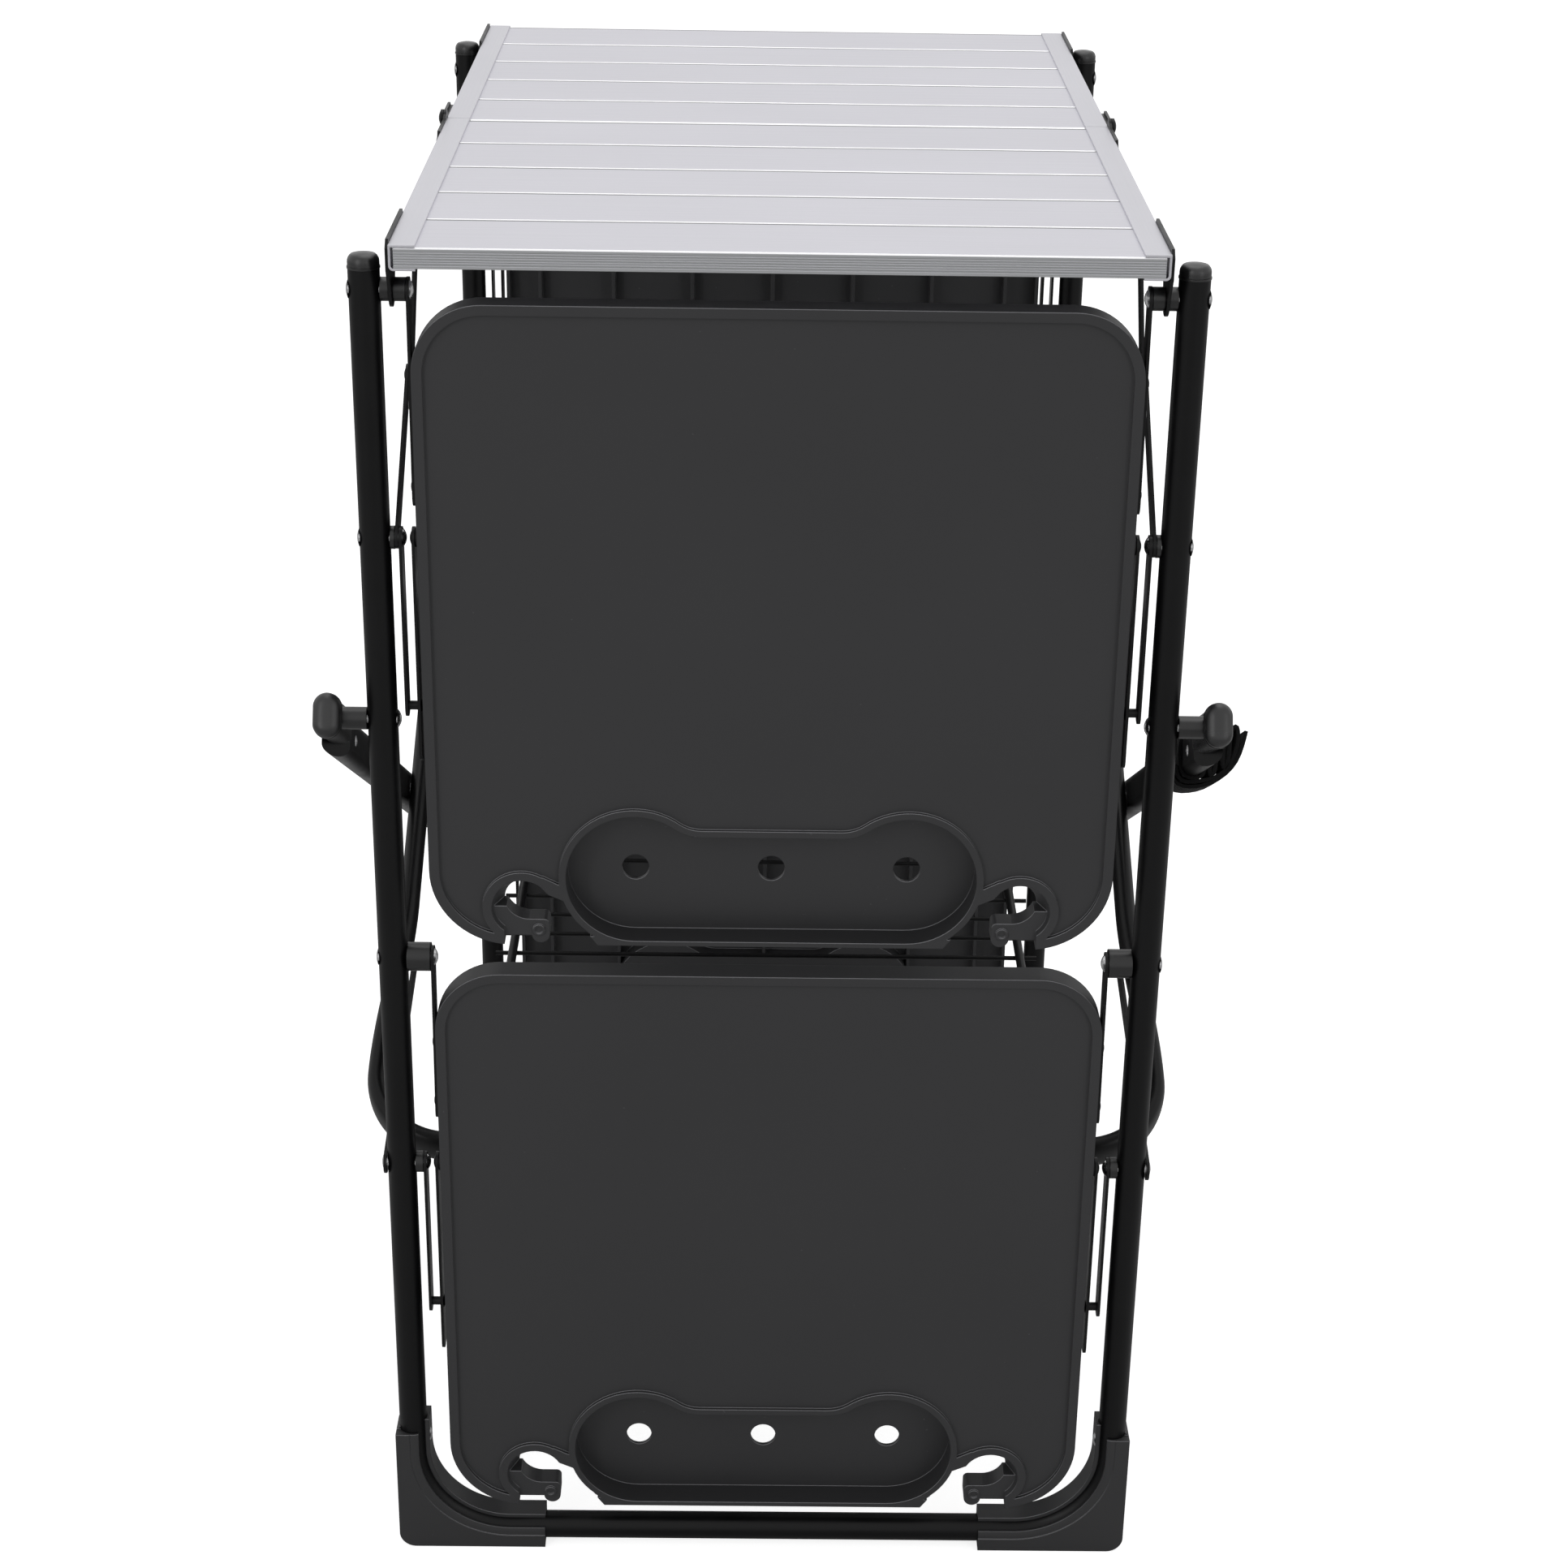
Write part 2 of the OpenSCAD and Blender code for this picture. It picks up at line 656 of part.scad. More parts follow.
module far_mid_hinge() {
    backing_y = hinge_eye_r + 2;
    color("#1a1a1b") both_sides() {
        plate(far_plate_in, far_plate_out) difference() {
            union() {
                translate([0, top_z]) circle(r = hinge_eye_r);
                polygon([
                    [0, top_z - hinge_eye_r], [0, top_z + hinge_eye_r], [8, top_z + 1],
                    [hinge_plate_len - 4, top_z + 1], [hinge_plate_len, top_z - 4],
                    [hinge_plate_len, hinge_low], [8, hinge_low]
                ]);
            }
            translate([0, top_z]) circle(r = hinge_pin_r + run_gap);
        }
        plate(plate_in, far_plate_in) polygon([
            [backing_y, top_z - 1], [hinge_plate_len - 2, top_z - 1],
            [hinge_plate_len - 2, hinge_low + 1], [backing_y, hinge_low + 1]
        ]);
        for (y = [18, 38])
            x_head(far_plate_out - EPS, [y, top_z - rail_h / 2], rivet_r + 2, rivet_head_h, 1);
    }
}

// Crossing frames, drawn in their own plane: y runs down the slope from the pivot, z square to it

// Children drawn in the plane of a crossing frame, put at its pivots
module on_cross_frame(inner) {
    at_end(inner) translate([0, 0, cross_pivot_z]) rotate([-cross_slope, 0, 0]) children();
}

// A straight length of flat-oval tube along y
module flat_run(from, to, w, d) {
    translate([0, from, 0]) rotate([-90, 0, 0]) linear_extrude(to - from) stadium(w, d);
}

module u_frame(c) {
    both_sides() {
        translate([c, 0, 0]) flat_run(bar_start, cross_len - cross_bend_r, bar_w, bar_d);
        translate([c - cross_bend_r, cross_len - cross_bend_r, 0])
            rotate_extrude(angle = 90) translate([cross_bend_r, 0]) stadium(bar_w, bar_d);
    }
    translate([-(c - cross_bend_r), cross_len, 0]) rotate([90, 0, 90])
        linear_extrude(2 * (c - cross_bend_r)) stadium(bar_w, bar_d);
}

// One U frame; its upper ends are bevelled and cut to take the stubs
module cross_frame(inner) {
    c = inner ? inner_bar_x : outer_bar_x;
    color("#141415") on_cross_frame(inner) difference() {
        translate([0, 0, -bar_drop]) u_frame(c);
        both_sides() {
            translate([c, 0, 0]) flat_run(0, stub_back + seat_gap, stub_w, stub_d);
            translate([c, 0, -bar_drop - bar_d]) linear_extrude(2 * bar_d) polygon([
                [bar_w, bar_start - 5], [bar_w / 2, bar_start],
                [-bar_w / 2, bar_start + bevel_len], [-bar_w, bar_start + bevel_len],
                [-bar_w, bar_start - 5]
            ]);
            x_bar(c - bar_w, c + bar_w, [cross_at, -bar_drop], bolt_r + run_gap);
        }
    }
}

// Stub that carries the pivot, and its rubber cap with a rounded front
module frame_ends(inner) {
    c = inner ? inner_bar_x : outer_bar_x;
    color("#202022") on_cross_frame(inner) both_sides() translate([c, 0, 0]) {
        difference() {
            flat_run(-stub_front, stub_back, stub_w, stub_d);
            x_bar(-bar_w, bar_w / 2 - 1 + seat_gap, [0, 0], bolt_r + run_gap);
        }
        flat_run(-cap_front + 4, -stub_front - seat_gap, end_cap_w, end_cap_d);
        flat_run(-stub_front - seat_gap - cap_rim_len, -stub_front - seat_gap,
            end_cap_w + 2 * cap_rim, end_cap_d + 2 * cap_rim);
        hull() for (step = [[4, 0], [2.2, 0.9], [0.8, 2.4], [0, 4.4]])
            translate([0, -cap_front + step[0], 0]) rotate([-90, 0, 0])
                linear_extrude(EPS) stadium(end_cap_w - 2 * step[1], end_cap_d - 2 * step[1]);
    }
}

// Crossing pins, split between the two frames, and the screws of the stubs
module frame_pins(inner) {
    c = inner ? inner_bar_x : outer_bar_x;
    side = inner ? -1 : 1;
    screw_h = inner ? 1.2 : 0.9;
    cross_head_h = inner ? rivet_head_h : strap_t + 0.2;
    color("#b9babd") on_cross_frame(inner) both_sides() {
        x_bar(c - bar_w / 2, c + bar_w / 2, [cross_at, -bar_drop], bolt_r);
        x_head(c + side * bar_w / 2, [cross_at, -bar_drop], head_r, cross_head_h, side);
        x_head(c - bar_w / 2, [frame_screw_at, -bar_drop], rivet_r + 1, screw_h, -1);
    }
}

// Links between a leg frame and the crossing frame that comes from the other end
module lower_links(far) {
    x0 = far ? far_link_in : near_link_in;
    x1 = x0 + link_t;
    color("#161617") at_end(far) both_sides() {
        plate(x0, x1) difference() {
            strip([0, link_pivot_z], [link_y, link_z], link_w + 2);
            translate([0, link_pivot_z]) circle(r = bolt_r + run_gap);
        }
        x_head(x0 + EPS, [link_y, link_z], head_r - 1, link_fit(far), -1);
    }
}
function link_fit(far) = far ? rivet_head_h : side_gap + 1;

// Braces between the legs and the top

module brace_lower(far) {
    color("#161617") at_end(far) both_sides() {
        plate(brace_low_in, brace_low_out) difference() {
            strip([0, brace_pivot_z], [elbow_y, elbow_z], link_w);
            translate([0, brace_pivot_z]) circle(r = bolt_r + run_gap);
        }
        x_head(brace_low_out - EPS, [elbow_y, elbow_z], rivet_r + 2, rivet_head_h, 1);
    }
}

module brace_upper(far) {
    color("#161617") at_end(far) both_sides() {
        plate(brace_up_in, brace_up_out) difference() {
            strip([brace_reach, brace_top_z], [elbow_y, elbow_z], link_w);
            translate([brace_reach, brace_top_z]) circle(r = rivet_r + run_gap);
        }
        x_head(brace_up_in + EPS, [elbow_y, elbow_z], rivet_r + 1.5, rivet_head_h, -1);
    }
}

// Trays, drawn at the near end about their pivot: x sideways, z up, the front face towards -y

// A rectangle from y0 to y1 with two corner radii
module tray_rect(w, y0, y1, r_low, r_high) {
    translate([-w / 2, y0 + r_low]) square([w, y1 - r_high - y0 - r_low]);
    translate([-w / 2 + r_low, y0]) square([w - 2 * r_low, r_low + EPS]);
    translate([-w / 2 + r_high, y1 - r_high - EPS]) square([w - 2 * r_high, r_high + EPS]);
    for (s = [-1, 1]) {
        translate([s * (w / 2 - r_low), y0 + r_low]) circle(r = r_low, $fn = 96);
        translate([s * (w / 2 - r_high), y1 - r_high]) circle(r = r_high, $fn = 96);
    }
}

tray_low = -tray_edge_drop - tray_len;
bowl_z = tray_low + bowl_up;
hook_z = tray_low + hook_up;

module tray_outline(inset) {
    tray_rect(tray_w - 2 * inset, tray_low + inset, -tray_edge_drop - inset,
        tray_r_out - inset, tray_r_in - inset);
}

// Dumbbell outline of the bowl, grown by g on all sides; the fillets bite a hair into the round ends
module bowl_outline(g) {
    bite = 0.1;
    c = bowl_spacing / 2;
    high = bowl_waist + g;
    r = bowl_r + g;
    fillet = bowl_fillet_r - g + bite;
    reach = sqrt(pow(bowl_r + bowl_fillet_r, 2) - pow(bowl_waist + bowl_fillet_r, 2));
    past = 1.03 * r / (bowl_r + bowl_fillet_r);
    translate([0, bowl_z]) {
        translate([-c, -r]) square([2 * c, r + high]);
        for (s = [-1, 1]) scale([s, 1]) {
            translate([c, 0]) circle(r = r, $fn = 96);
            difference() {
                polygon([
                    [c - reach, high], [c - reach, 0], [c, 0],
                    [c - reach * past, (bowl_waist + bowl_fillet_r) * past]
                ]);
                translate([c - reach, high + fillet]) circle(r = fillet, $fn = 96);
            }
        }
    }
}

// Gap of a hook that runs right through the tray and out of its free edge, on the right side
gap_out = hook_x + hook_slot;
gap_top = 12.5;

module hook_gap() {
    difference() {
        polygon([
            [gap_out, tray_low - 3], [gap_out, hook_z], [hook_x + 2, hook_z + gap_top],
            [hook_x - 7, hook_z + gap_top - 0.5], [hook_x - 17, hook_z + 7.5],
            [hook_x - 26, hook_z + 3.5], [hook_x - 38, hook_z - 17.5], [hook_x - 44, tray_low - 3]
        ]);
        bowl_outline(bowl_rim - 0.3);
    }
}

// Land between the hook rim and the bowl rim
module hook_land() {
    polygon([
        [hook_x + 4, hook_z + hook_r + 3], [hook_x - 12, hook_z + hook_r + 2],
        [hook_x - 32, hook_z + 9], [hook_x - 32, tray_low], [hook_x + 4, tray_low]
    ]);
}

// A flat shape between two depths behind the tray front
module depth(f0, f1) {
    translate([0, -tray_front + f1, 0]) rotate([90, 0, 0]) linear_extrude(f1 - f0) children();
}

// A round form along the depth of the tray
module depth_cone(x, z, f0, f1, r0, r1) {
    translate([x, -tray_front + f0, z]) rotate([-90, 0, 0])
        cylinder(h = f1 - f0, r1 = r0, r2 = r1, $fn = 96);
}

rib_w = 2.4;
rib_x = [0, 57, 113, 165];
rib_start = 20;
hook_ring = hook_r + 5;
hook_back_ring = hook_r + 4;
bowl_floor = tray_wall - 0.3;

module tray_shell() {
    back = field_depth + tray_wall;
    difference() {
        depth(0, tray_t) tray_outline(0);
        depth(-1, field_depth) tray_outline(rim_w);
        depth(back, tray_t + 1) tray_outline(tray_wall);
    }
    depth(back - EPS, tray_t - 1) intersection() {
        tray_outline(tray_wall / 2);
        for (x = rib_x, s = [-1, 1])
            translate([s * x - rib_w / 2, tray_low + rib_start]) square([rib_w, tray_len]);
    }
    depth(0, back) intersection() {
        tray_outline(0);
        union() {
            bowl_outline(bowl_rim);
            for (s = [-1, 1]) scale([s, 1]) {
                translate([hook_x, hook_z]) circle(r = hook_ring, $fn = 96);
                hook_land();
            }
        }
    }
    depth(back - EPS, bowl_depth + bowl_floor) bowl_outline(bowl_floor);
    for (s = [-1, 1])
        depth(back - EPS, tray_t) intersection() {
            tray_outline(0);
            translate([s * hook_x, hook_z]) circle(r = hook_back_ring, $fn = 96);
        }
}

// Hook arm, seen from the front: a bar with a knob at its end and a long fillet at its root
arm_x = gap_out - hook_arm;
arm_low = tray_low + 4.6;
arm_top = arm_low + hook_arm_h;
arm_root = 9;
arm_front = 3;
arm_corner_r = 3;
arm_fillet_r = 14;
arm_fillet_h = 8;
knob_ring_r = 3.5;

module arm_outline() {
    translate([arm_x, arm_low]) square([arm_corner_r + 1, hook_arm_h - arm_corner_r]);
    translate([arm_x + arm_corner_r, arm_low]) square([hook_arm - arm_corner_r + arm_root, hook_arm_h]);
    translate([arm_x + arm_corner_r, arm_top - arm_corner_r]) circle(r = arm_corner_r);
    translate([arm_x + knob_r, tray_low + knob_r]) circle(r = knob_r);
    difference() {
        translate([gap_out - arm_fillet_r, arm_top - 1])
            square([arm_fillet_r + arm_root, arm_fillet_h + 1]);
        translate([gap_out - arm_fillet_r, arm_top + arm_fillet_r])
            circle(r = arm_fillet_r, $fn = 96);
        translate([gap_out - arm_fillet_r - 1, arm_top]) square([1.5, arm_fillet_h + 1]);
    }
}

module tray_panel() {
    hook_taper = (hook_r - hook_back_r) / tray_t;
    difference() {
        tray_shell();
        depth(-1, bowl_depth) bowl_outline(0);
        for (x = [-1, 0, 1])
            depth_cone(x * bowl_spacing / 2, bowl_z, 0, tray_t + 10, drain_d / 2, drain_d / 2);
        both_sides() {
            depth(-1, bowl_depth + 5) hook_gap();
            depth_cone(hook_x, hook_z, -1, tray_t + 1, hook_r + hook_taper, hook_back_r - hook_taper);
        }
    }
    both_sides() difference() {
        union() {
            depth(arm_front, tray_t) arm_outline();
            depth_cone(arm_x + knob_r + 1, tray_low + knob_r + 3, arm_front - 1, tray_t - 1,
                knob_ring_r, knob_ring_r);
        }
        depth_cone(arm_x + knob_r + 1, tray_low + knob_r + 3, arm_front - 2, arm_front - 0.3, 2, 2);
    }
}

module tray(far, z) {
    color("#38383a") at_end(far) translate([0, 0, z]) tray_panel();
}

// Flat bars on the sides of a tray, their rivets, and the pins of its struts
bar_lean = 4.5;

module tray_bars(far, z, run) {
    rivet_z = [-run * 0.56, -run + 4];
    pin_seat = tray_w / 2;
    color("#161617") at_end(far) both_sides() translate([0, 0, z]) {
        plate(bar_in, bar_out) difference() {
            strip([0, 0], [-bar_lean, -run], link_w + 1);
            circle(r = bolt_r + run_gap);
        }
        for (rz = rivet_z)
            x_head(bar_out - EPS, [bar_lean * rz / run, rz], rivet_r + 1.6, rivet_head_h - 0.2, 1);
        x_bar(pin_seat, bar_out, [0, -strut_drop], head_r);
        x_bar(bar_out - EPS, tray_strut_out + seat_gap, [0, -strut_drop], rivet_r);
        x_head(tray_strut_out + seat_gap - EPS, [0, -strut_drop], rivet_r + 1.8, rivet_head_h, 1);
    }
}

// Struts that hold a raised tray: one on the leg frame, one on the tray
module leg_struts(far, z) {
    elbow = [0, z - strut_len];
    color("#161617") at_end(far) both_sides() {
        plate(leg_strut_in, leg_strut_out) difference() {
            strip([0, z], elbow, link_w);
            translate([0, z]) circle(r = bolt_r + run_gap);
        }
        x_bar(tray_strut_out + side_gap, leg_strut_in + EPS, elbow, rivet_r);
    }
}

module tray_struts(far, z) {
    color("#161617") at_end(far) both_sides() {
        plate(tray_strut_in, tray_strut_out) difference() {
            strip([0, z], [0, z - strut_len - strut_tab], link_w);
            translate([0, z]) circle(r = rivet_r + run_gap);
        }
        x_head(tray_strut_in + EPS, [0, z - strut_len], rivet_r + 1.5, side_gap + 0.9, -1);
    }
}

// Wire rack

module rack_frame() {
    color("#19191a") both_sides() translate([rack_spacing / 2, -rack_end, rack_z])
        rotate([-90, 0, 0]) cylinder(h = 2 * rack_end, r = rod_r);
}

module rack_wires() {
    wire_r = rack_wire_d / 2;
    half = rack_spacing / 2 + rack_wire_end;
    color("#19191a")
        for (i = [0 : rack_wires_n - 1])
            translate([-half, (i - (rack_wires_n - 1) / 2) * rack_pitch, rack_z - rod_r - wire_r])
                rotate([0, 90, 0]) cylinder(h = 2 * half, r = wire_r);
}

// Webbing strap around the right arm of the outer frame

module strap_ring(from, to, gap, t) {
    difference() {
        flat_run(from, to, bar_w + 2 * (gap + t), bar_d + 2 * (gap + t));
        flat_run(from - 1, to + 1, bar_w + 2 * gap, bar_d + 2 * gap);
    }
}

module strap() {
    color("#0f0f10") on_cross_frame(false) translate([outer_bar_x, 0, -bar_drop])
        strap_ring(strap_at, strap_at + strap_w, 0.2, strap_t);
}

module strap_patch() {
    patch_t = 1.2;
    start = bar_d / 2 + 0.2 + strap_t;
    color("#0f0f10") on_cross_frame(false) translate([outer_bar_x, strap_at + 3, -bar_drop - start])
        translate([-bar_w / 4, 0, -patch_t]) cube([bar_w / 2, strap_w - 6, patch_t]);
}

leg_tube(false);  // near_leg_tube
foot(false, false);  // near_left_foot
foot(false, true);  // near_right_foot
leg_caps(false);  // near_leg_caps
bushings(false);  // near_bushings
bolts(false);  // near_bolts
leg_tube(true);  // far_leg_tube
foot(true, false);  // far_left_foot
foot(true, true);  // far_right_foot
leg_caps(true);  // far_leg_caps
bushings(true);  // far_bushings
bolts(true);  // far_bolts
slat(false, 1);  // near_slat_1
slat(false, 2);  // near_slat_2
slat(false, 3);  // near_slat_3
slat(false, 4);  // near_slat_4
slat(false, 5);  // near_slat_5
slat(true, 1);  // far_slat_1
slat(true, 2);  // far_slat_2
slat(true, 3);  // far_slat_3
slat(true, 4);  // far_slat_4
slat(true, 5);  // far_slat_5
rails(false);  // near_rails
rails(true);  // far_rails
end_plates(false);  // near_end_plates
end_plates(true);  // far_end_plates
near_mid_hinge();
far_mid_hinge();
cross_frame(false);  // outer_cross_frame
cross_frame(true);  // inner_cross_frame
frame_ends(false);  // outer_frame_ends
frame_ends(true);  // inner_frame_ends
frame_pins(false);  // outer_frame_pins
frame_pins(true);  // inner_frame_pins
lower_links(false);  // near_lower_links
lower_links(true);  // far_lower_links
rack_frame();
rack_wires();
brace_lower(false);  // near_brace_lower
brace_upper(false);  // near_brace_upper
brace_lower(true);  // far_brace_lower
brace_upper(true);  // far_brace_upper
tray(false, top_pivot_z);  // near_upper_tray
tray(false, low_tray_pivot_z);  // near_lower_tray
tray(true, top_pivot_z);  // far_upper_tray
tray(true, low_tray_pivot_z);  // far_lower_tray
tray_bars(false, top_pivot_z, bar_len_up);  // near_upper_tray_bars
tray_bars(false, low_tray_pivot_z, bar_len_low);  // near_lower_tray_bars
tray_bars(true, top_pivot_z, bar_len_up);  // far_upper_tray_bars
tray_bars(true, low_tray_pivot_z, bar_len_low);  // far_lower_tray_bars
leg_struts(false, brace_pivot_z);  // near_upper_leg_struts
leg_struts(false, link_pivot_z);  // near_lower_leg_struts
leg_struts(true, brace_pivot_z);  // far_upper_leg_struts
leg_struts(true, link_pivot_z);  // far_lower_leg_struts
tray_struts(false, top_pivot_z - strut_drop);  // near_upper_tray_struts
tray_struts(false, low_tray_pivot_z - strut_drop);  // near_lower_tray_struts
tray_struts(true, top_pivot_z - strut_drop);  // far_upper_tray_struts
tray_struts(true, low_tray_pivot_z - strut_drop);  // far_lower_tray_struts
strap();
strap_patch();
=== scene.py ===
"""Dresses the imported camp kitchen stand: finishes, webbing strap, sprung tube, floor, light and camera."""

import json
import logging
import math
from abc import ABC, abstractmethod
from dataclasses import dataclass
from enum import Enum

import bpy
from mathutils import Euler, Matrix, Vector

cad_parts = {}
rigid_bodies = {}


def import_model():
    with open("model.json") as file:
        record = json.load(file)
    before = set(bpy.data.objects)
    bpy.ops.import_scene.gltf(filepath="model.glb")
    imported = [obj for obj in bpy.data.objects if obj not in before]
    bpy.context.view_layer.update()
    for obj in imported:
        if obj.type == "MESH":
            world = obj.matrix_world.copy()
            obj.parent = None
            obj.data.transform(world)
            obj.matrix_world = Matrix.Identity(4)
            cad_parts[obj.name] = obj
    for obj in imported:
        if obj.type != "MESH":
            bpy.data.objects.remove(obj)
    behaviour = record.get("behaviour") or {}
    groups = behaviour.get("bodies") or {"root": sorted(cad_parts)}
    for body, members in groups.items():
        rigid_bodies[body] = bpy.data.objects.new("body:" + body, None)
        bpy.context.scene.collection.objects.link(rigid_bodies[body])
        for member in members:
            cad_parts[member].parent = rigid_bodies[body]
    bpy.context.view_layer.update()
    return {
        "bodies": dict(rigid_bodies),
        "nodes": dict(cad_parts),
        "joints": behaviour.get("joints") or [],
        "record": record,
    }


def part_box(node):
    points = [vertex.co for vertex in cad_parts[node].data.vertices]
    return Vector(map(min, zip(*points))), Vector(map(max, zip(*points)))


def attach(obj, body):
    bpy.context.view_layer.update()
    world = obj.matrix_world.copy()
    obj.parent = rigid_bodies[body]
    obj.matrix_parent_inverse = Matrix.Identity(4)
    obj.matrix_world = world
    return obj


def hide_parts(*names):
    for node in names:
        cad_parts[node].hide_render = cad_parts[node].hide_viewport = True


LOG = logging.getLogger("camp_kitchen_stand")
MM = 0.001
SMOOTH_BELOW = math.radians(40)
# The arms of the crossing frames: their slope from level, and the section of their tube in millimetres.
ARM_SLOPE = math.radians(29.56)
ARM_WIDTH = 12.0
ARM_DEPTH = 25.0

Triple = tuple[float, float, float]
Colour = Triple
Point2 = tuple[float, float]
Socket = bpy.types.NodeSocket


class Part(Enum):
    """The material slots of the stand, by what is made of them."""

    FRAME_TUBE = "frame_tube"
    TOP_SLAT = "top_slat"
    TOP_RAIL = "top_rail"
    BLACK_PLATE = "black_plate"
    RUBBER_CAP = "rubber_cap"
    SPACER = "spacer"
    FOOT = "foot_plastic"
    TRAY = "tray_plastic"
    BOLT = "bolt_metal"
    RACK = "rack_wire"
    WEBBING = "webbing"


def shade(colour: Colour, factor: float) -> Colour:
    """Makes a colour lighter or darker.

    Args:
        colour: The colour.
        factor: What each channel is multiplied by.

    Returns:
        The new colour.
    """
    return tuple(channel * factor for channel in colour)


class ShaderSheet:
    """A material under construction, with short ways to add its nodes."""

    BEVEL_SAMPLES = 6
    # The direction of the light that the painted edge highlights face.
    LIGHT_FROM = (-0.15, -0.2, 0.97)
    # The scale at which Blender's wave texture has one wave per metre.
    ONE_WAVE = math.pi / 10
    # A Mix node has several inputs of one name, so those for colours are found by their number.
    FIRST_COLOUR = 6
    SECOND_COLOUR = 7
    MIXED_COLOUR = 2

    def __init__(self, name: str) -> None:
        """Starts a material that has one Principled shader.

        Args:
            name: The material's name.
        """
        self.material = bpy.data.materials.new(name)
        self.material.use_nodes = True
        self.tree = self.material.node_tree
        self.surface = self.tree.nodes["Principled BSDF"]
        self.coordinates = self.add("ShaderNodeTexCoord")

    def add(self, kind: str, **settings: object) -> bpy.types.Node:
        """Adds a node.

        Args:
            kind: Blender's name for the type of node.
            **settings: Attributes that are set on the new node.

        Returns:
            The new node.
        """
        node = self.tree.nodes.new(kind)
        for key, value in settings.items():
            setattr(node, key, value)
        return node

    def join(self, source: Socket, target: Socket) -> None:
        """Links an output to an input.

        Args:
            source: The output.
            target: The input.
        """
        self.tree.links.new(source, target)

    def fix(self, levels: dict[str, float | tuple[float, ...]]) -> None:
        """Sets inputs of the shader to plain values.

        Args:
            levels: The values by the names of the inputs.
        """
        for name, level in levels.items():
            self.surface.inputs[name].default_value = level

    def calculate(self, operation: str, first: Socket, second: Socket | float = 0.0,
                  third: float = 0.0) -> Socket:
        """Adds a calculation.

        Args:
            operation: Blender's name for it.
            first: The first term.
            second: The second term, as an output or a number.
            third: The third term.

        Returns:
            The result.
        """
        node = self.add("ShaderNodeMath", operation=operation)
        self.join(first, node.inputs[0])
        if isinstance(second, Socket):
            self.join(second, node.inputs[1])
        else:
            node.inputs[1].default_value = second
        node.inputs[2].default_value = third
        return node.outputs[0]

    def axes(self, coordinates: str) -> list[Socket]:
        """Splits a texture coordinate.

        Args:
            coordinates: The output of Texture Coordinate that it reads.

        Returns:
            Its x, y and z.
        """
        split = self.add("ShaderNodeSeparateXYZ")
        self.join(self.coordinates.outputs[coordinates], split.inputs[0])
        return list(split.outputs)

    def noise(self, scale: float, stretch: Triple = (1, 1, 1), detail: float = 4) -> Socket:
        """Adds a noise pattern that sits on the piece.

        Args:
            scale: Cells per metre.
            stretch: Factors on the three axes, to draw the pattern out.
            detail: Octaves of finer noise.

        Returns:
            The pattern's height, from 0 to 1.
        """
        mapping = self.add("ShaderNodeMapping")
        mapping.inputs["Scale"].default_value = stretch
        pattern = self.add("ShaderNodeTexNoise")
        pattern.inputs["Scale"].default_value = scale
        pattern.inputs["Detail"].default_value = detail
        self.join(self.coordinates.outputs["Object"], mapping.inputs["Vector"])
        self.join(mapping.outputs["Vector"], pattern.inputs["Vector"])
        return pattern.outputs["Fac"]

    def bands(self, direction: str, per_metre: float, waviness: float = 0.0) -> Socket:
        """Adds waves that follow the piece's UV map.

        Args:
            direction: X for waves that follow each other along U, Y for waves along V.
            per_metre: Waves per metre.
            waviness: How far noise bends them.

        Returns:
            The waves' height, from 0 to 1.
        """
        wave = self.add("ShaderNodeTexWave", bands_direction=direction)
        wave.inputs["Scale"].default_value = per_metre * self.ONE_WAVE
        wave.inputs["Distortion"].default_value = waviness
        self.join(self.coordinates.outputs["UV"], wave.inputs["Vector"])
        return wave.outputs["Fac"]

    def spread(self, source: Socket, low: float, high: float,
               from_low: float = 0.3, from_high: float = 0.7) -> Socket:
        """Maps a pattern onto a range of values.

        Args:
            source: The pattern.
            low: The value where the pattern is low.
            high: The value where the pattern is high.
            from_low: The pattern's level that counts as low.
            from_high: The pattern's level that counts as high.

        Returns:
            The mapped value.
        """
        remap = self.add("ShaderNodeMapRange")
        remap.inputs["From Min"].default_value = from_low
        remap.inputs["From Max"].default_value = from_high
        remap.inputs["To Min"].default_value = low
        remap.inputs["To Max"].default_value = high
        self.join(source, remap.inputs["Value"])
        return remap.outputs["Result"]

    def tint(self, factor: Socket, first: Socket | Colour, second: Colour) -> Socket:
        """Mixes two colours by a factor.

        Args:
            factor: How much of the second colour shows.
            first: The colour at 0, as an output or as numbers.
            second: The colour at 1.

        Returns:
            The mixed colour.
        """
        mix = self.add("ShaderNodeMix", data_type="RGBA")
        if isinstance(first, Socket):
            self.join(first, mix.inputs[self.FIRST_COLOUR])
        else:
            mix.inputs[self.FIRST_COLOUR].default_value = (*first, 1)
        mix.inputs[self.SECOND_COLOUR].default_value = (*second, 1)
        self.join(factor, mix.inputs["Factor"])
        return mix.outputs[self.MIXED_COLOUR]

    def mottle(self, pattern: Socket, colour: Colour, low: float, high: float) -> None:
        """Gives the shader a base colour that varies with a pattern.

        Args:
            pattern: The pattern, as noise() returns it.
            colour: The colour.
            low: What the colour is multiplied by where the pattern is low.
            high: What it is multiplied by where the pattern is high.
        """
        mixed = self.tint(self.spread(pattern, 0, 1), shade(colour, low), shade(colour, high))
        self.join(mixed, self.surface.inputs["Base Color"])

    def overlay(self, mask: Socket, colour: Colour) -> None:
        """Lays a colour over the base colour that is linked to the shader.

        Args:
            mask: How much of the colour shows, from 0 to 1.
            colour: The colour.
        """
        base = self.surface.inputs["Base Color"]
        self.join(self.tint(mask, base.links[0].from_socket, colour), base)

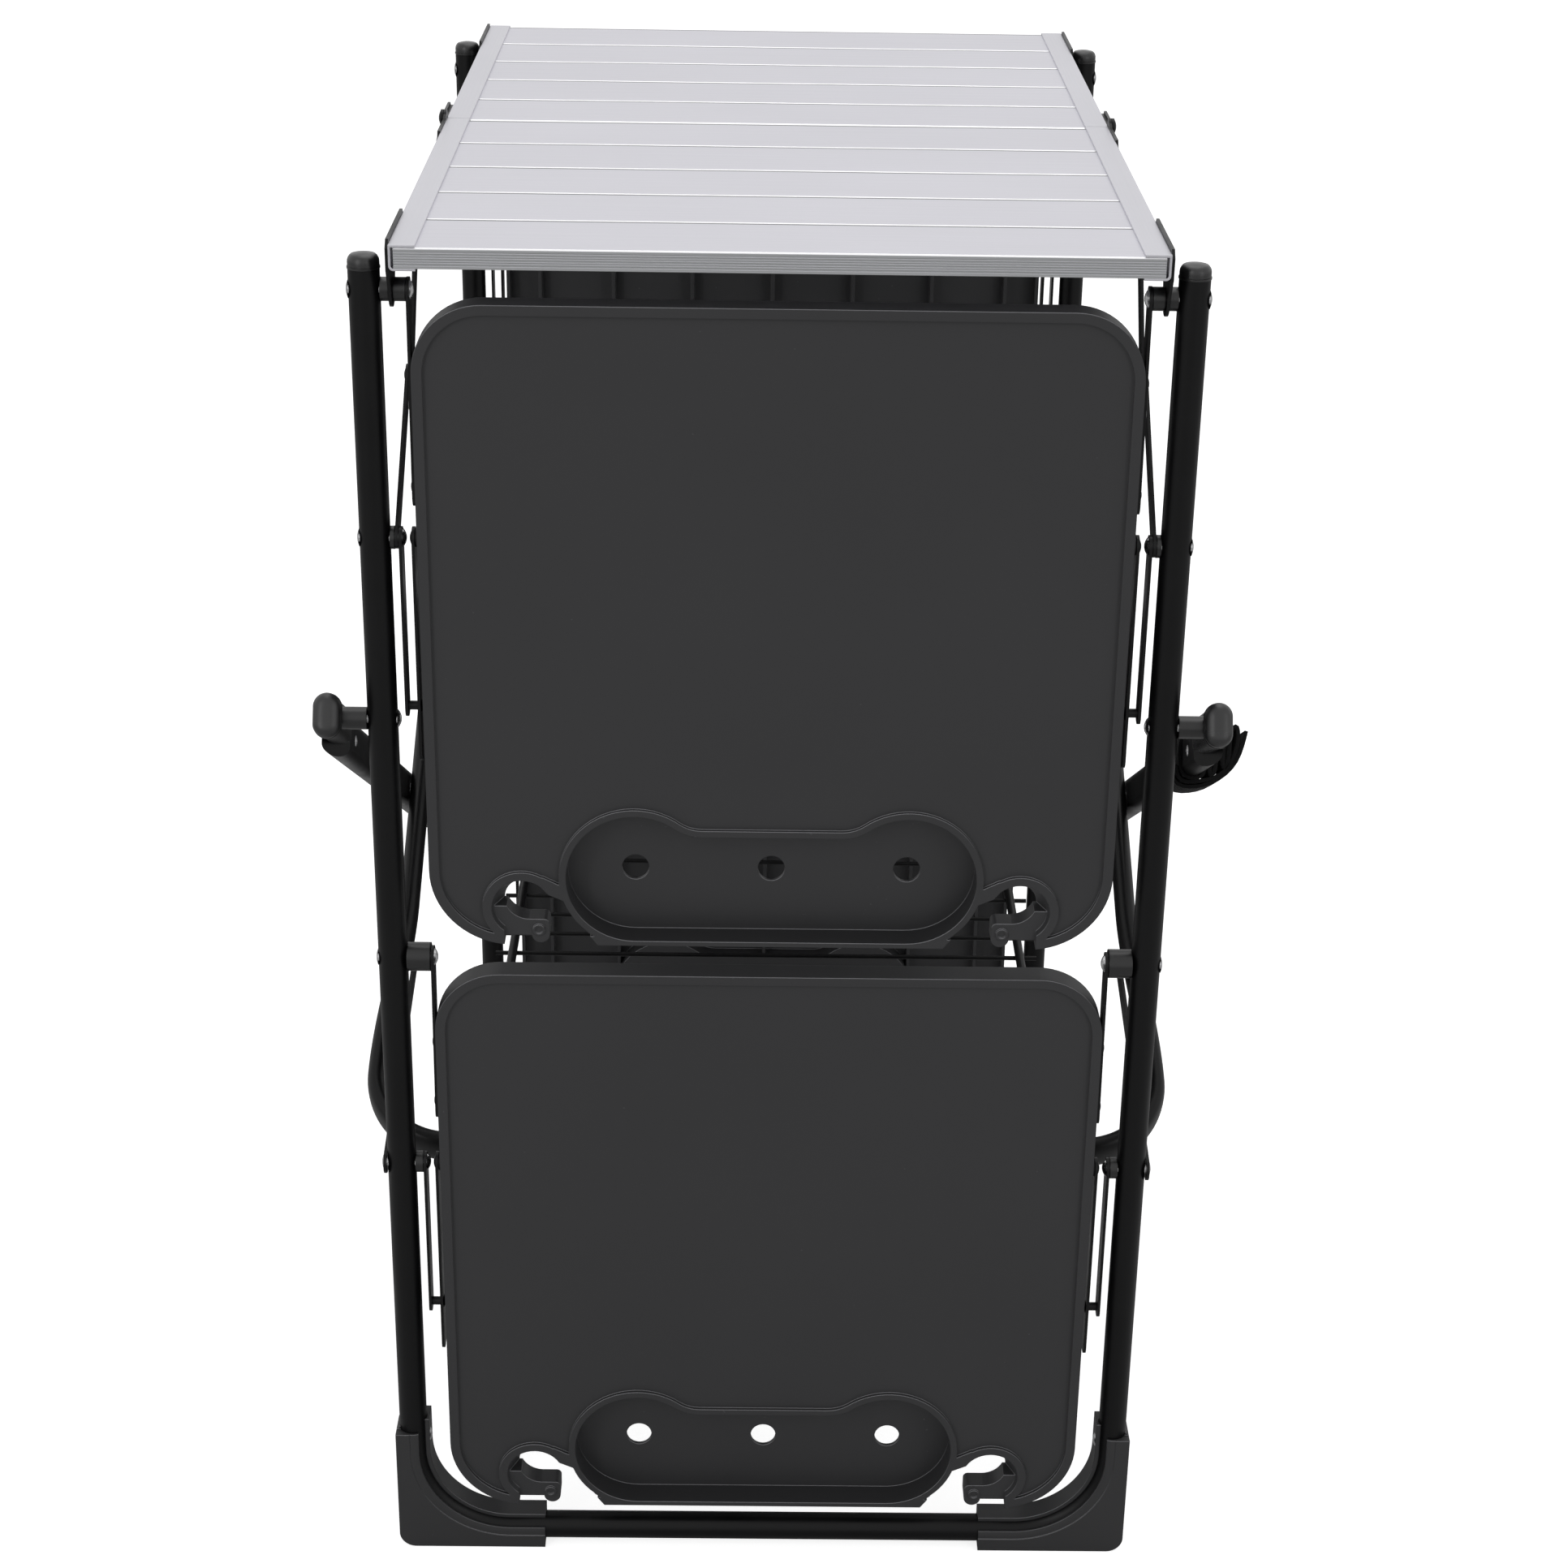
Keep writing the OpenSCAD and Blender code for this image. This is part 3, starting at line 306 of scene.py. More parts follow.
    def vary_gloss(self, pattern: Socket, roughness: float, below: float, above: float) -> None:
        """Gives the shader a roughness that varies with a pattern.

        Args:
            pattern: The pattern, as noise() returns it.
            roughness: The level in between.
            below: How far the roughness falls where the pattern is low.
            above: How far it rises where the pattern is high.
        """
        varied = self.spread(pattern, roughness - below, roughness + above)
        self.join(varied, self.surface.inputs["Roughness"])

    def rounded(self, radius: float) -> Socket:
        """Rounds sharp edges in the shading.

        Args:
            radius: The radius of the rounding in metres.

        Returns:
            The rounded normal, which is also linked to the shader.
        """
        bevel = self.add("ShaderNodeBevel", samples=self.BEVEL_SAMPLES)
        bevel.inputs["Radius"].default_value = radius
        self.join(bevel.outputs["Normal"], self.surface.inputs["Normal"])
        return bevel.outputs["Normal"]

    def lit_edges(self, rounding: Socket, strength: float) -> Socket:
        """Finds the rounded edges that turn up to the light, for painted highlights.

        Args:
            rounding: The normal that rounded() returned.
            strength: The factor at the brightest part of an edge.

        Returns:
            How much an edge catches the light, from 0 to that factor.
        """
        plain = self.add("ShaderNodeNewGeometry").outputs["True Normal"]
        levels = []
        for normal in (rounding, plain):
            facing = self.add("ShaderNodeVectorMath", operation="DOT_PRODUCT")
            facing.inputs[1].default_value = self.LIGHT_FROM
            self.join(normal, facing.inputs[0])
            levels.append(facing.outputs["Value"])
        turn = self.calculate("SUBTRACT", *levels)
        return self.spread(turn, low=0, high=strength, from_low=0.1, from_high=0.6)

    def emboss(self, height: Socket, strength: float, distance: float, under: Socket | None = None) -> None:
        """Turns a height into bump on the surface.

        Args:
            height: The pattern.
            strength: How strongly it shows, from 0 to 1.
            distance: Its depth in metres.
            under: The rounded normal that the bump lies on, if there is one.
        """
        bump = self.add("ShaderNodeBump")
        bump.inputs["Strength"].default_value = strength
        bump.inputs["Distance"].default_value = distance
        self.join(height, bump.inputs["Height"])
        if under:
            self.join(under, bump.inputs["Normal"])
        self.join(bump.outputs["Normal"], self.surface.inputs["Normal"])


@dataclass(frozen=True)
class Finish(ABC):
    """The recipe of one material."""

    name: str
    colour: Colour

    def make(self) -> bpy.types.Material:
        """Builds the material.

        Returns:
            The finished material.
        """
        sheet = ShaderSheet(self.name)
        self.lay(sheet)
        return sheet.material

    @abstractmethod
    def lay(self, sheet: ShaderSheet) -> None:
        """Adds the nodes of this finish.

        Args:
            sheet: The material under construction.
        """


@dataclass(frozen=True)
class DrawnAluminium(Finish):
    """Anodised aluminium extrusion with fine lines along its length and bright cut edges.

    draw_axis is the axis that the lines follow. lines_across and lines_along stretch them across and
    along it. edge is the radius of the edges in metres.
    """

    roughness: float = 0.42
    metallic: float = 0.75
    draw_axis: int = 0
    lines_across: float = 260.0
    lines_along: float = 2.0
    edge: float = 0.0006

    def lay(self, sheet: ShaderSheet) -> None:
        """Adds the drawn metal."""
        stretch = [self.lines_across] * 3
        stretch[self.draw_axis] = self.lines_along
        lines = sheet.noise(scale=2.4, stretch=tuple(stretch), detail=5)
        clouds = sheet.noise(scale=9, detail=3)
        sheet.fix({"Metallic": self.metallic})
        sheet.mottle(clouds, self.colour, low=0.985, high=1.015)
        sheet.vary_gloss(lines, self.roughness, below=0.05, above=0.07)
        sheet.emboss(lines, strength=0.12, distance=0.00006, under=sheet.rounded(self.edge))


@dataclass(frozen=True)
class SlatAluminium(DrawnAluminium):
    """The slats' metal: painted highlights on the bevels, painted shade on the rear edge at each gap,
    and painted shade in ribbed stripes on the front face.

    pitch is the distance from slat to slat, and near_edge and far_edge are where the row of gaps
    starts on each half of the top. All of them are y in metres. The painted shade before a gap is
    shaded_width wide, and full_share of that width has the whole gap_shade. A rib is rib_pitch high,
    and rib_low of its painted shade is left in a groove. leaning and level are the least part of a face's
    normal that lies on an axis, for a bevel and for a plain side.
    """

    pitch: float = 0.06203
    near_edge: float = -0.00135
    far_edge: float = 0.00045
    shaded_width: float = 0.0032
    full_share: float = 0.55
    gap_shade: float = 0.85
    rib_pitch: float = 0.00085
    rib_low: float = 0.25
    leaning: float = 0.5
    level: float = 0.9
    # The colours of the painted rib shade, the painted bevel highlight and the painted gap shade.
    rib_shade_colour: Colour = (0.36, 0.375, 0.368)
    bevel_highlight_colour: Colour = (0.98, 0.98, 0.99)
    gap_shade_colour: Colour = (0.045, 0.045, 0.048)

    def lay(self, sheet: ShaderSheet) -> None:
        """Adds the drawn metal, with painted shade on the ribs, painted highlights on the bevels and painted
        shade before the gaps over it.
        """
        super().lay(sheet)
        y_now, z_now = sheet.axes("Object")[1:]
        tilt_y, tilt_z = sheet.axes("Normal")[1:]
        across = sheet.calculate("ABSOLUTE", tilt_y)
        upward = sheet.calculate("ABSOLUTE", tilt_z)
        # Painted shade in ribbed stripes on the upright faces.
        sheet.overlay(self.ribs(sheet, across, z_now), self.rib_shade_colour)
        # Painted highlight on the bevels.
        steep = sheet.calculate("GREATER_THAN", across, self.leaning)
        raised = sheet.calculate("GREATER_THAN", upward, self.leaning)
        sheet.overlay(sheet.calculate("MULTIPLY", steep, raised), self.bevel_highlight_colour)
        # Painted shade on the top just before each gap.
        sheet.overlay(self.gaps(sheet, tilt_z, y_now), self.gap_shade_colour)

    def ribs(self, sheet: ShaderSheet, across: Socket, z_now: Socket) -> Socket:
        """Finds the ribs of the upright faces, where painted shade is laid in stripes.

        Args:
            sheet: The material under construction.
            across: How much of the face's normal lies on the y axis.
            z_now: The height on the piece.

        Returns:
            How much of the painted rib shade shows.
        """
        upright = sheet.calculate("GREATER_THAN", across, self.level)
        ribs = sheet.calculate("PINGPONG", z_now, self.rib_pitch / 2)
        ribs = sheet.spread(ribs, low=self.rib_low, high=1.0, from_low=0, from_high=self.rib_pitch / 2)
        return sheet.calculate("MULTIPLY", upright, ribs)

    def gaps(self, sheet: ShaderSheet, tilt_z: Socket, y_now: Socket) -> Socket:
        """Finds the rear edges of the slats on the upper faces, where painted shade is laid before each gap.

        Args:
            sheet: The material under construction.
            tilt_z: The z of the face's normal.
            y_now: The place along the top.

        Returns:
            How much of the painted gap shade shows.
        """
        flat = sheet.calculate("GREATER_THAN", tilt_z, self.level)
        far_half = sheet.calculate("GREATER_THAN", y_now, 0.0)
        edge = sheet.calculate("MULTIPLY_ADD", far_half, self.far_edge - self.near_edge, self.near_edge)
        before_edge = sheet.calculate("WRAP", sheet.calculate("SUBTRACT", y_now, edge), 0.0, -self.pitch)
        shaded = sheet.spread(
            before_edge, low=0, high=self.gap_shade,
            from_low=-self.shaded_width, from_high=-self.shaded_width * self.full_share,
        )
        return sheet.calculate("MULTIPLY", flat, shaded)


@dataclass(frozen=True)
class PowderCoat(Finish):
    """Satin black powder coat, with the faint waviness that such paint dries to.

    wave is the depth of that waviness in metres.
    """

    roughness: float = 0.38
    specular: float = 0.22
    wave: float = 0.00005

    def lay(self, sheet: ShaderSheet) -> None:
        """Adds the paint."""
        peel = sheet.noise(scale=420, detail=2)
        dust = sheet.noise(scale=38, detail=6)
        sheet.fix({"Specular IOR Level": self.specular})
        sheet.mottle(dust, self.colour, low=1.0, high=1.3)
        sheet.vary_gloss(dust, self.roughness, below=0.04, above=0.06)
        sheet.emboss(peel, strength=0.25, distance=self.wave)


@dataclass(frozen=True)
class MouldedPlastic(Finish):
    """Moulded plastic with a fine spark-eroded grain, a few rubbed, dusty places and painted edge
    highlights.

    grain is the depth of the grain and edge the radius of the edges, in metres. speck and sheen say
    how much the dust and the painted edge highlights show, and dust_lift and edge_lift how much paler they
    are.
    """

    roughness: float = 0.52
    specular: float = 0.4
    grain: float = 0.00005
    speck: float = 0.5
    edge: float = 0.0009
    sheen: float = 0.8
    dust_lift: float = 2.6
    edge_lift: float = 16.0

    def lay(self, sheet: ShaderSheet) -> None:
        """Adds the plastic, with its dust and its lit edges."""
        fine = sheet.noise(scale=2600, detail=2)
        flow = sheet.noise(scale=7, detail=5)
        specks = sheet.noise(scale=310, detail=1)
        sheet.fix({"Specular IOR Level": self.specular})
        sheet.mottle(flow, self.colour, low=0.96, high=1.05)
        dust = sheet.spread(specks, low=0, high=self.speck, from_low=0.79, from_high=0.82)
        sheet.overlay(dust, shade(self.colour, self.dust_lift))
        sheet.vary_gloss(flow, self.roughness, below=0.03, above=0.05)
        rounding = sheet.rounded(self.edge)
        # Painted highlight on the edges that turn up to the light.
        sheet.overlay(sheet.lit_edges(rounding, self.sheen), shade(self.colour, self.edge_lift))
        sheet.emboss(fine, strength=0.35, distance=self.grain, under=rounding)


@dataclass(frozen=True)
class PlatedSteel(Finish):
    """Bright plated steel of bolts and rivets, slightly dulled by handling."""

    roughness: float = 0.2

    def lay(self, sheet: ShaderSheet) -> None:
        """Adds the plating."""
        haze = sheet.noise(scale=160, detail=5)
        sheet.fix({"Metallic": 1})
        sheet.mottle(haze, self.colour, low=0.85, high=1.0)
        sheet.vary_gloss(haze, self.roughness, below=0.05, above=0.12)
        sheet.emboss(haze, strength=0.08, distance=0.00004)


@dataclass(frozen=True)
class Webbing(Finish):
    """Black woven webbing, its threads following the strap by its own UV map.

    cross_threads and long_threads are the threads per metre of its length and of its width.
    thread_lift is how much paler a thread is at its height.
    """

    cross_threads: float = 314.1
    long_threads: float = 219.87
    waviness: float = 0.4
    thread_lift: float = 3.0

    def lay(self, sheet: ShaderSheet) -> None:
        """Adds the weave."""
        across = sheet.bands("X", self.cross_threads, self.waviness)
        along = sheet.bands("Y", self.long_threads)
        weave = sheet.calculate("MULTIPLY", across, along)
        sheet.fix({"Roughness": 0.85, "Specular IOR Level": 0.2, "Sheen Weight": 0.12})
        woven = sheet.tint(weave, self.colour, shade(self.colour, self.thread_lift))
        sheet.join(woven, sheet.surface.inputs["Base Color"])
        sheet.emboss(weave, strength=0.7, distance=0.0004)


class Finishes:
    """Every finish of the stand, made once and given out by material slot."""

    def __init__(self) -> None:
        """Makes the materials."""
        black = (0.0026, 0.0026, 0.0029)
        recipes: dict[Part, Finish] = {
            Part.FRAME_TUBE: PowderCoat("satin_black_tube", black),
            Part.TOP_SLAT: SlatAluminium("anodised_slat", (0.665, 0.658, 0.705)),
            Part.TOP_RAIL: DrawnAluminium("anodised_rail", (0.645, 0.64, 0.68), draw_axis=1),
            Part.BLACK_PLATE: PowderCoat("black_link", shade(black, 0.9), roughness=0.36, specular=0.25),
            # sheen is the strength of the painted edge highlights.
            Part.RUBBER_CAP: MouldedPlastic(
                "rubber_cap", (0.0125, 0.0125, 0.013), roughness=0.27, specular=0.6, grain=0.00001,
                speck=0.2, edge=0.004, sheen=0.1,
            ),
            Part.SPACER: MouldedPlastic(
                "nylon_spacer", (0.006, 0.006, 0.0063), roughness=0.3, specular=0.55, grain=0.00002,
                speck=0.1,
            ),
            Part.FOOT: MouldedPlastic("foot_moulding", (0.0365, 0.0365, 0.038), roughness=0.5),
            Part.TRAY: MouldedPlastic("tray_moulding", (0.0395, 0.0395, 0.0415), roughness=0.5),
            Part.BOLT: PlatedSteel("plated_bolt", (0.72, 0.72, 0.73)),
            Part.RACK: PowderCoat("rack_coat", black, roughness=0.4, specular=0.25),
            Part.WEBBING: Webbing("black_webbing", (0.0035, 0.0035, 0.0038)),
        }
        self.materials = {part.value: recipe.make() for part, recipe in recipes.items()}

    def paint(self, piece: bpy.types.Object, slot: str) -> None:
        """Gives a piece the one finish of its slot.

        Args:
            piece: The mesh object.
            slot: The material slot in the record.
        """
        piece.data.materials.clear()
        piece.data.materials.append(self.materials[slot])

    def paint_frame(self, frame: dict) -> None:
        """Gives each carried-over node the finish of its slot.
        """
        for entry in frame["record"]["subparts"]:
            self.paint(frame["nodes"][entry["node"]], entry["material_slot"])


def ease(part: float) -> float:
    """Turns an even run from 0 to 1 into one that starts and ends gently.

    Args:
        part: The even run.

    Returns:
        The eased run.
    """
    return part * part * (3 - 2 * part)


def deselect() -> None:
    """Leaves edit mode and deselects everything."""
    if bpy.context.object and bpy.context.object.mode != "OBJECT":
        bpy.ops.object.mode_set(mode="OBJECT")
    bpy.ops.object.select_all(action="DESELECT")


def set_down(piece: bpy.types.Object) -> None:
    """Puts the piece's place into its mesh, so that the object sits at the origin.

    Args:
        piece: The mesh object.
    """
    deselect()
    piece.select_set(True)
    bpy.context.view_layer.objects.active = piece
    bpy.ops.object.transform_apply(location=True, rotation=True, scale=True)


def apply_modifier(piece: bpy.types.Object, kind: str, **settings: object) -> None:
    """Adds a modifier and applies it.

    Args:
        piece: The active object.
        kind: Blender's name for the modifier.
        **settings: The modifier's settings.
    """
    modifier = piece.modifiers.new(kind.title(), kind)
    for key, value in settings.items():
        setattr(modifier, key, value)
    bpy.ops.object.modifier_apply(modifier=modifier.name)


@dataclass
class WebbingStrap:
    """The strap round the right arm of the outer frame: a loop and the tongue that closes it.

    Its route is drawn in the arm's cross-section, x outwards and z up from the arm's axis, in millimetres.
    """

    width: float = 30.0
    thickness: float = 2.1
    hem: float = 0.3
    loop: tuple[Point2, ...] = (
        (7.4, 4.0), (7.4, -6.0), (6.6, -12.4), (0.0, -14.2), (-5.2, -12.0), (-7.4, -6.0), (-7.4, 6.0),
        (-5.2, 12.0), (0.0, 14.1), (5.8, 12.8), (9.6, 8.0), (9.9, 0.0), (9.7, -7.6), (9.9, -12.6),
        (12.4, -11.6), (13.6, -5.0), (13.8, 2.0), (14.4, 9.0), (16.4, 12.8), (18.2, 9.0), (17.6, 1.0),
        (17.0, -6.4), (18.6, -8.4), (20.6, -4.0), (21.4, 4.0), (21.9, 12.0), (23.4, 16.8), (26.2, 17.2),
        (26.6, 11.0), (25.4, 3.0), (22.4, -5.0), (16.6, -11.8), (8.4, -14.7), (-4.6, -16.5),
        (-8.8, -13.2), (-9.8, -6.0),
    )
    tongue: tuple[Point2, ...] = (
        (-12.4, -9.0), (-11.4, -15.0), (-6.4, -18.8), (2.0, -18.6), (10.5, -16.8), (19.6, -11.0),
        (25.6, -3.6), (28.8, 5.0), (31.0, 14.0),
    )

    @staticmethod
    def route_length(route: tuple[Point2, ...]) -> float:
        """Measures a band along its route.

        Args:
            route: Points in the arm's cross-section.

        Returns:
            The length in millimetres.
        """
        return sum(math.dist(here, there) for here, there in zip(route, route[1:]))

    def ribbon(self, name: str, route: tuple[Point2, ...]) -> bpy.types.Object:
        """Draws a band of webbing along a route, from a flat grid with one row of faces for each step.

        Args:
            name: The piece's name.
            route: Points in the arm's cross-section.

        Returns:
            The finished band, in the arm's own frame.
        """
        deselect()
        bpy.ops.mesh.primitive_grid_add(
            x_subdivisions=len(route) - 1,
            y_subdivisions=1,
            size=self.width * MM,
        )
        piece = bpy.context.object
        piece.name = name
        columns = sorted({round(vertex.co.x, 6) for vertex in piece.data.vertices})
        for vertex in piece.data.vertices:
            out, up = route[columns.index(round(vertex.co.x, 6))]
            vertex.co.x = out * MM
            vertex.co.z = up * MM
        self.lay_weave(piece, route)
        apply_modifier(piece, "SUBSURF", levels=1, render_levels=1, boundary_smooth="PRESERVE_CORNERS")
        apply_modifier(piece, "SOLIDIFY", thickness=self.thickness * MM, offset=0)
        apply_modifier(piece, "BEVEL", width=self.hem * MM, segments=2, limit_method="ANGLE")
        bpy.ops.object.shade_smooth_by_angle(angle=SMOOTH_BELOW)
        return piece

    @staticmethod
    def lay_weave(piece: bpy.types.Object, route: tuple[Point2, ...]) -> None:
        """Lays a UV map on a band: its length along U and its width along V, in metres.

        Args:
            piece: The band, bent along its route.
            route: Points in the arm's cross-section.
        """
        marks = [Vector(point) * MM for point in route]
        run = [0.0]
        for here, there in zip(marks, marks[1:]):
            run.append(run[-1] + (there - here).length)
        uv = piece.data.uv_layers.new(name="weave")
        for corner in piece.data.loops:
            place = piece.data.vertices[corner.vertex_index].co
            flat = Vector((place.x, place.z))
            nearest = min(range(len(marks)), key=lambda index: (marks[index] - flat).length)
            uv.data[corner.index].uv = (run[nearest], place.y)

    def make(self, finishes: Finishes) -> list[bpy.types.Object]:
        """Builds both bands and puts them round the arm.

        Args:
            finishes: The stand's finishes.

        Returns:
            The two pieces.
        """
        low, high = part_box("strap")
        middle = (low + high) / 2
        pieces = []
        for name, route in (("strap_loop", self.loop), ("strap_tongue", self.tongue)):
            piece = self.ribbon(name, route)
            piece.rotation_euler = Euler((-ARM_SLOPE, 0, 0))
            piece.location = middle
            set_down(piece)
            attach(piece, "outer_frame")
            finishes.paint(piece, Part.WEBBING.value)
            pieces.append(piece)
        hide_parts("strap", "strap_patch")
        return pieces


@dataclass
class SprungFrame:
    """The tube of the inner frame, sprung wider towards its lower bend, as it stands in the photograph.

    It is drawn flat in its own plane, x sideways and y down the arms from the pivots, in millimetres.
    The arms stand half_width from the middle, lean out by extra between extra_from and the bend, and
    lie drop below the pivots. The upper ends are cut at a slant that is end_cut long.
    """

    half_width: float = 228.45
    extra: float = 9.5
    extra_from: float = 430.0
    bend_radius: float = 47.0
    length: float = 608.0
    start: float = 14.0
    end_cut: float = 26.0
    drop: float = 5.8
    pivot: Point2 = (293.0, 548.0)
    steps: int = 24
    side_fullness: float = 0.93

    def centre_line(self) -> list[Point2]:
        """Returns the points of the tube's axis, from one upper end round to the other."""
        straight_end = self.length - self.bend_radius
        wide = self.half_width + self.extra
        arm = [(self.half_width, self.start)]
        for step in range(self.steps + 1):
            part = step / self.steps
            arm.append((
                self.half_width + self.extra * ease(part),
                self.extra_from + (straight_end - self.extra_from) * part,
            ))
        for step in range(1, self.steps + 1):
            turn = math.pi / 2 * step / self.steps
            arm.append((
                wide - self.bend_radius * (1 - math.cos(turn)),
                straight_end + self.bend_radius * math.sin(turn),
            ))
        return arm + [(-x, y) for x, y in reversed(arm)]

    def section(self) -> bpy.types.Object:
        """Draws the flat oval of the tube: a circle whose top and bottom are drawn apart.

        Returns:
            The closed curve.
        """
        bpy.ops.curve.primitive_bezier_circle_add(radius=ARM_WIDTH / 2 * MM)
        oval = bpy.context.object
        oval.name = "tube_section"
        points = oval.data.splines[0].bezier_points
        stretch = (ARM_DEPTH - ARM_WIDTH) / 2 * MM
        ends = [point for point in points if abs(point.co.y) > ARM_WIDTH / 4 * MM]
        sides = [point for point in points if point not in ends]
        for point in ends:
            point.co.y += math.copysign(stretch, point.co.y)
            for handle in (point.handle_left, point.handle_right):
                handle.y += math.copysign(stretch, handle.y)
        for point in sides:
            for handle in (point.handle_left, point.handle_right):
                handle.y += math.copysign(stretch * self.side_fullness, handle.y)
        return oval

    def sweep(self, oval: bpy.types.Object) -> bpy.types.Object:
        """Draws the section along the centre line.

        Args:
            oval: The section.

        Returns:
            The tube as a mesh, which is the active object.
        """
        line = self.centre_line()
        curve = bpy.data.curves.new("inner_frame_line", "CURVE")
        curve.dimensions = "2D"
        curve.fill_mode = "NONE"
        curve.bevel_mode = "OBJECT"
        curve.bevel_object = oval
        curve.use_fill_caps = True
        spline = curve.splines.new("POLY")
        spline.points.add(len(line) - 1)
        for point, (across, down) in zip(spline.points, line):
            point.co = (across * MM, down * MM, 0, 1)
        piece = bpy.data.objects.new("inner_frame_tube", curve)
        bpy.context.collection.objects.link(piece)
        deselect()
        piece.select_set(True)
        bpy.context.view_layer.objects.active = piece
        bpy.ops.object.convert(target="MESH")
        return bpy.context.object

    def make(self, finishes: Finishes) -> bpy.types.Object:
        """Builds the tube and puts it on its body, in place of the plain one.

        Args:
            finishes: The stand's finishes.

        Returns:
            The tube.
        """
        deselect()
        oval = self.section()
        piece = self.sweep(oval)
        for vertex in piece.data.vertices:
            if vertex.co.y < (self.start + 1) * MM:
                inward = (self.half_width * MM - abs(vertex.co.x)) / (ARM_WIDTH * MM) + 0.5
                vertex.co.y += self.end_cut * MM * inward
            vertex.co.z -= self.drop * MM
        bpy.data.objects.remove(oval)
        bpy.ops.object.shade_smooth_by_angle(angle=SMOOTH_BELOW)
        piece.rotation_euler = Euler((-ARM_SLOPE, 0, math.pi))
        piece.location = (0, self.pivot[0] * MM, self.pivot[1] * MM)
        set_down(piece)
        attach(piece, "inner_frame")
        finishes.paint(piece, Part.FRAME_TUBE.value)
        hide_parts("inner_cross_frame")
        return piece


@dataclass(frozen=True)
class Softbox:
    """A soft light that faces the stand: place and size in metres, power in watts."""

    name: str
    place: Triple
    power: float
    width: float
    height: float
    aim: Triple = (0.0, 0.0, 0.45)

    def make(self) -> None:
        """Adds the light."""
        bpy.ops.object.light_add(type="AREA", location=self.place)
        lamp = bpy.context.object
        lamp.name = self.name
        lamp.data.energy = self.power
        lamp.data.shape = "RECTANGLE"
        lamp.data.size = self.width
        lamp.data.size_y = self.height
        facing = Vector(self.aim) - Vector(self.place)
        lamp.rotation_euler = facing.to_track_quat("-Z", "Y").to_euler()


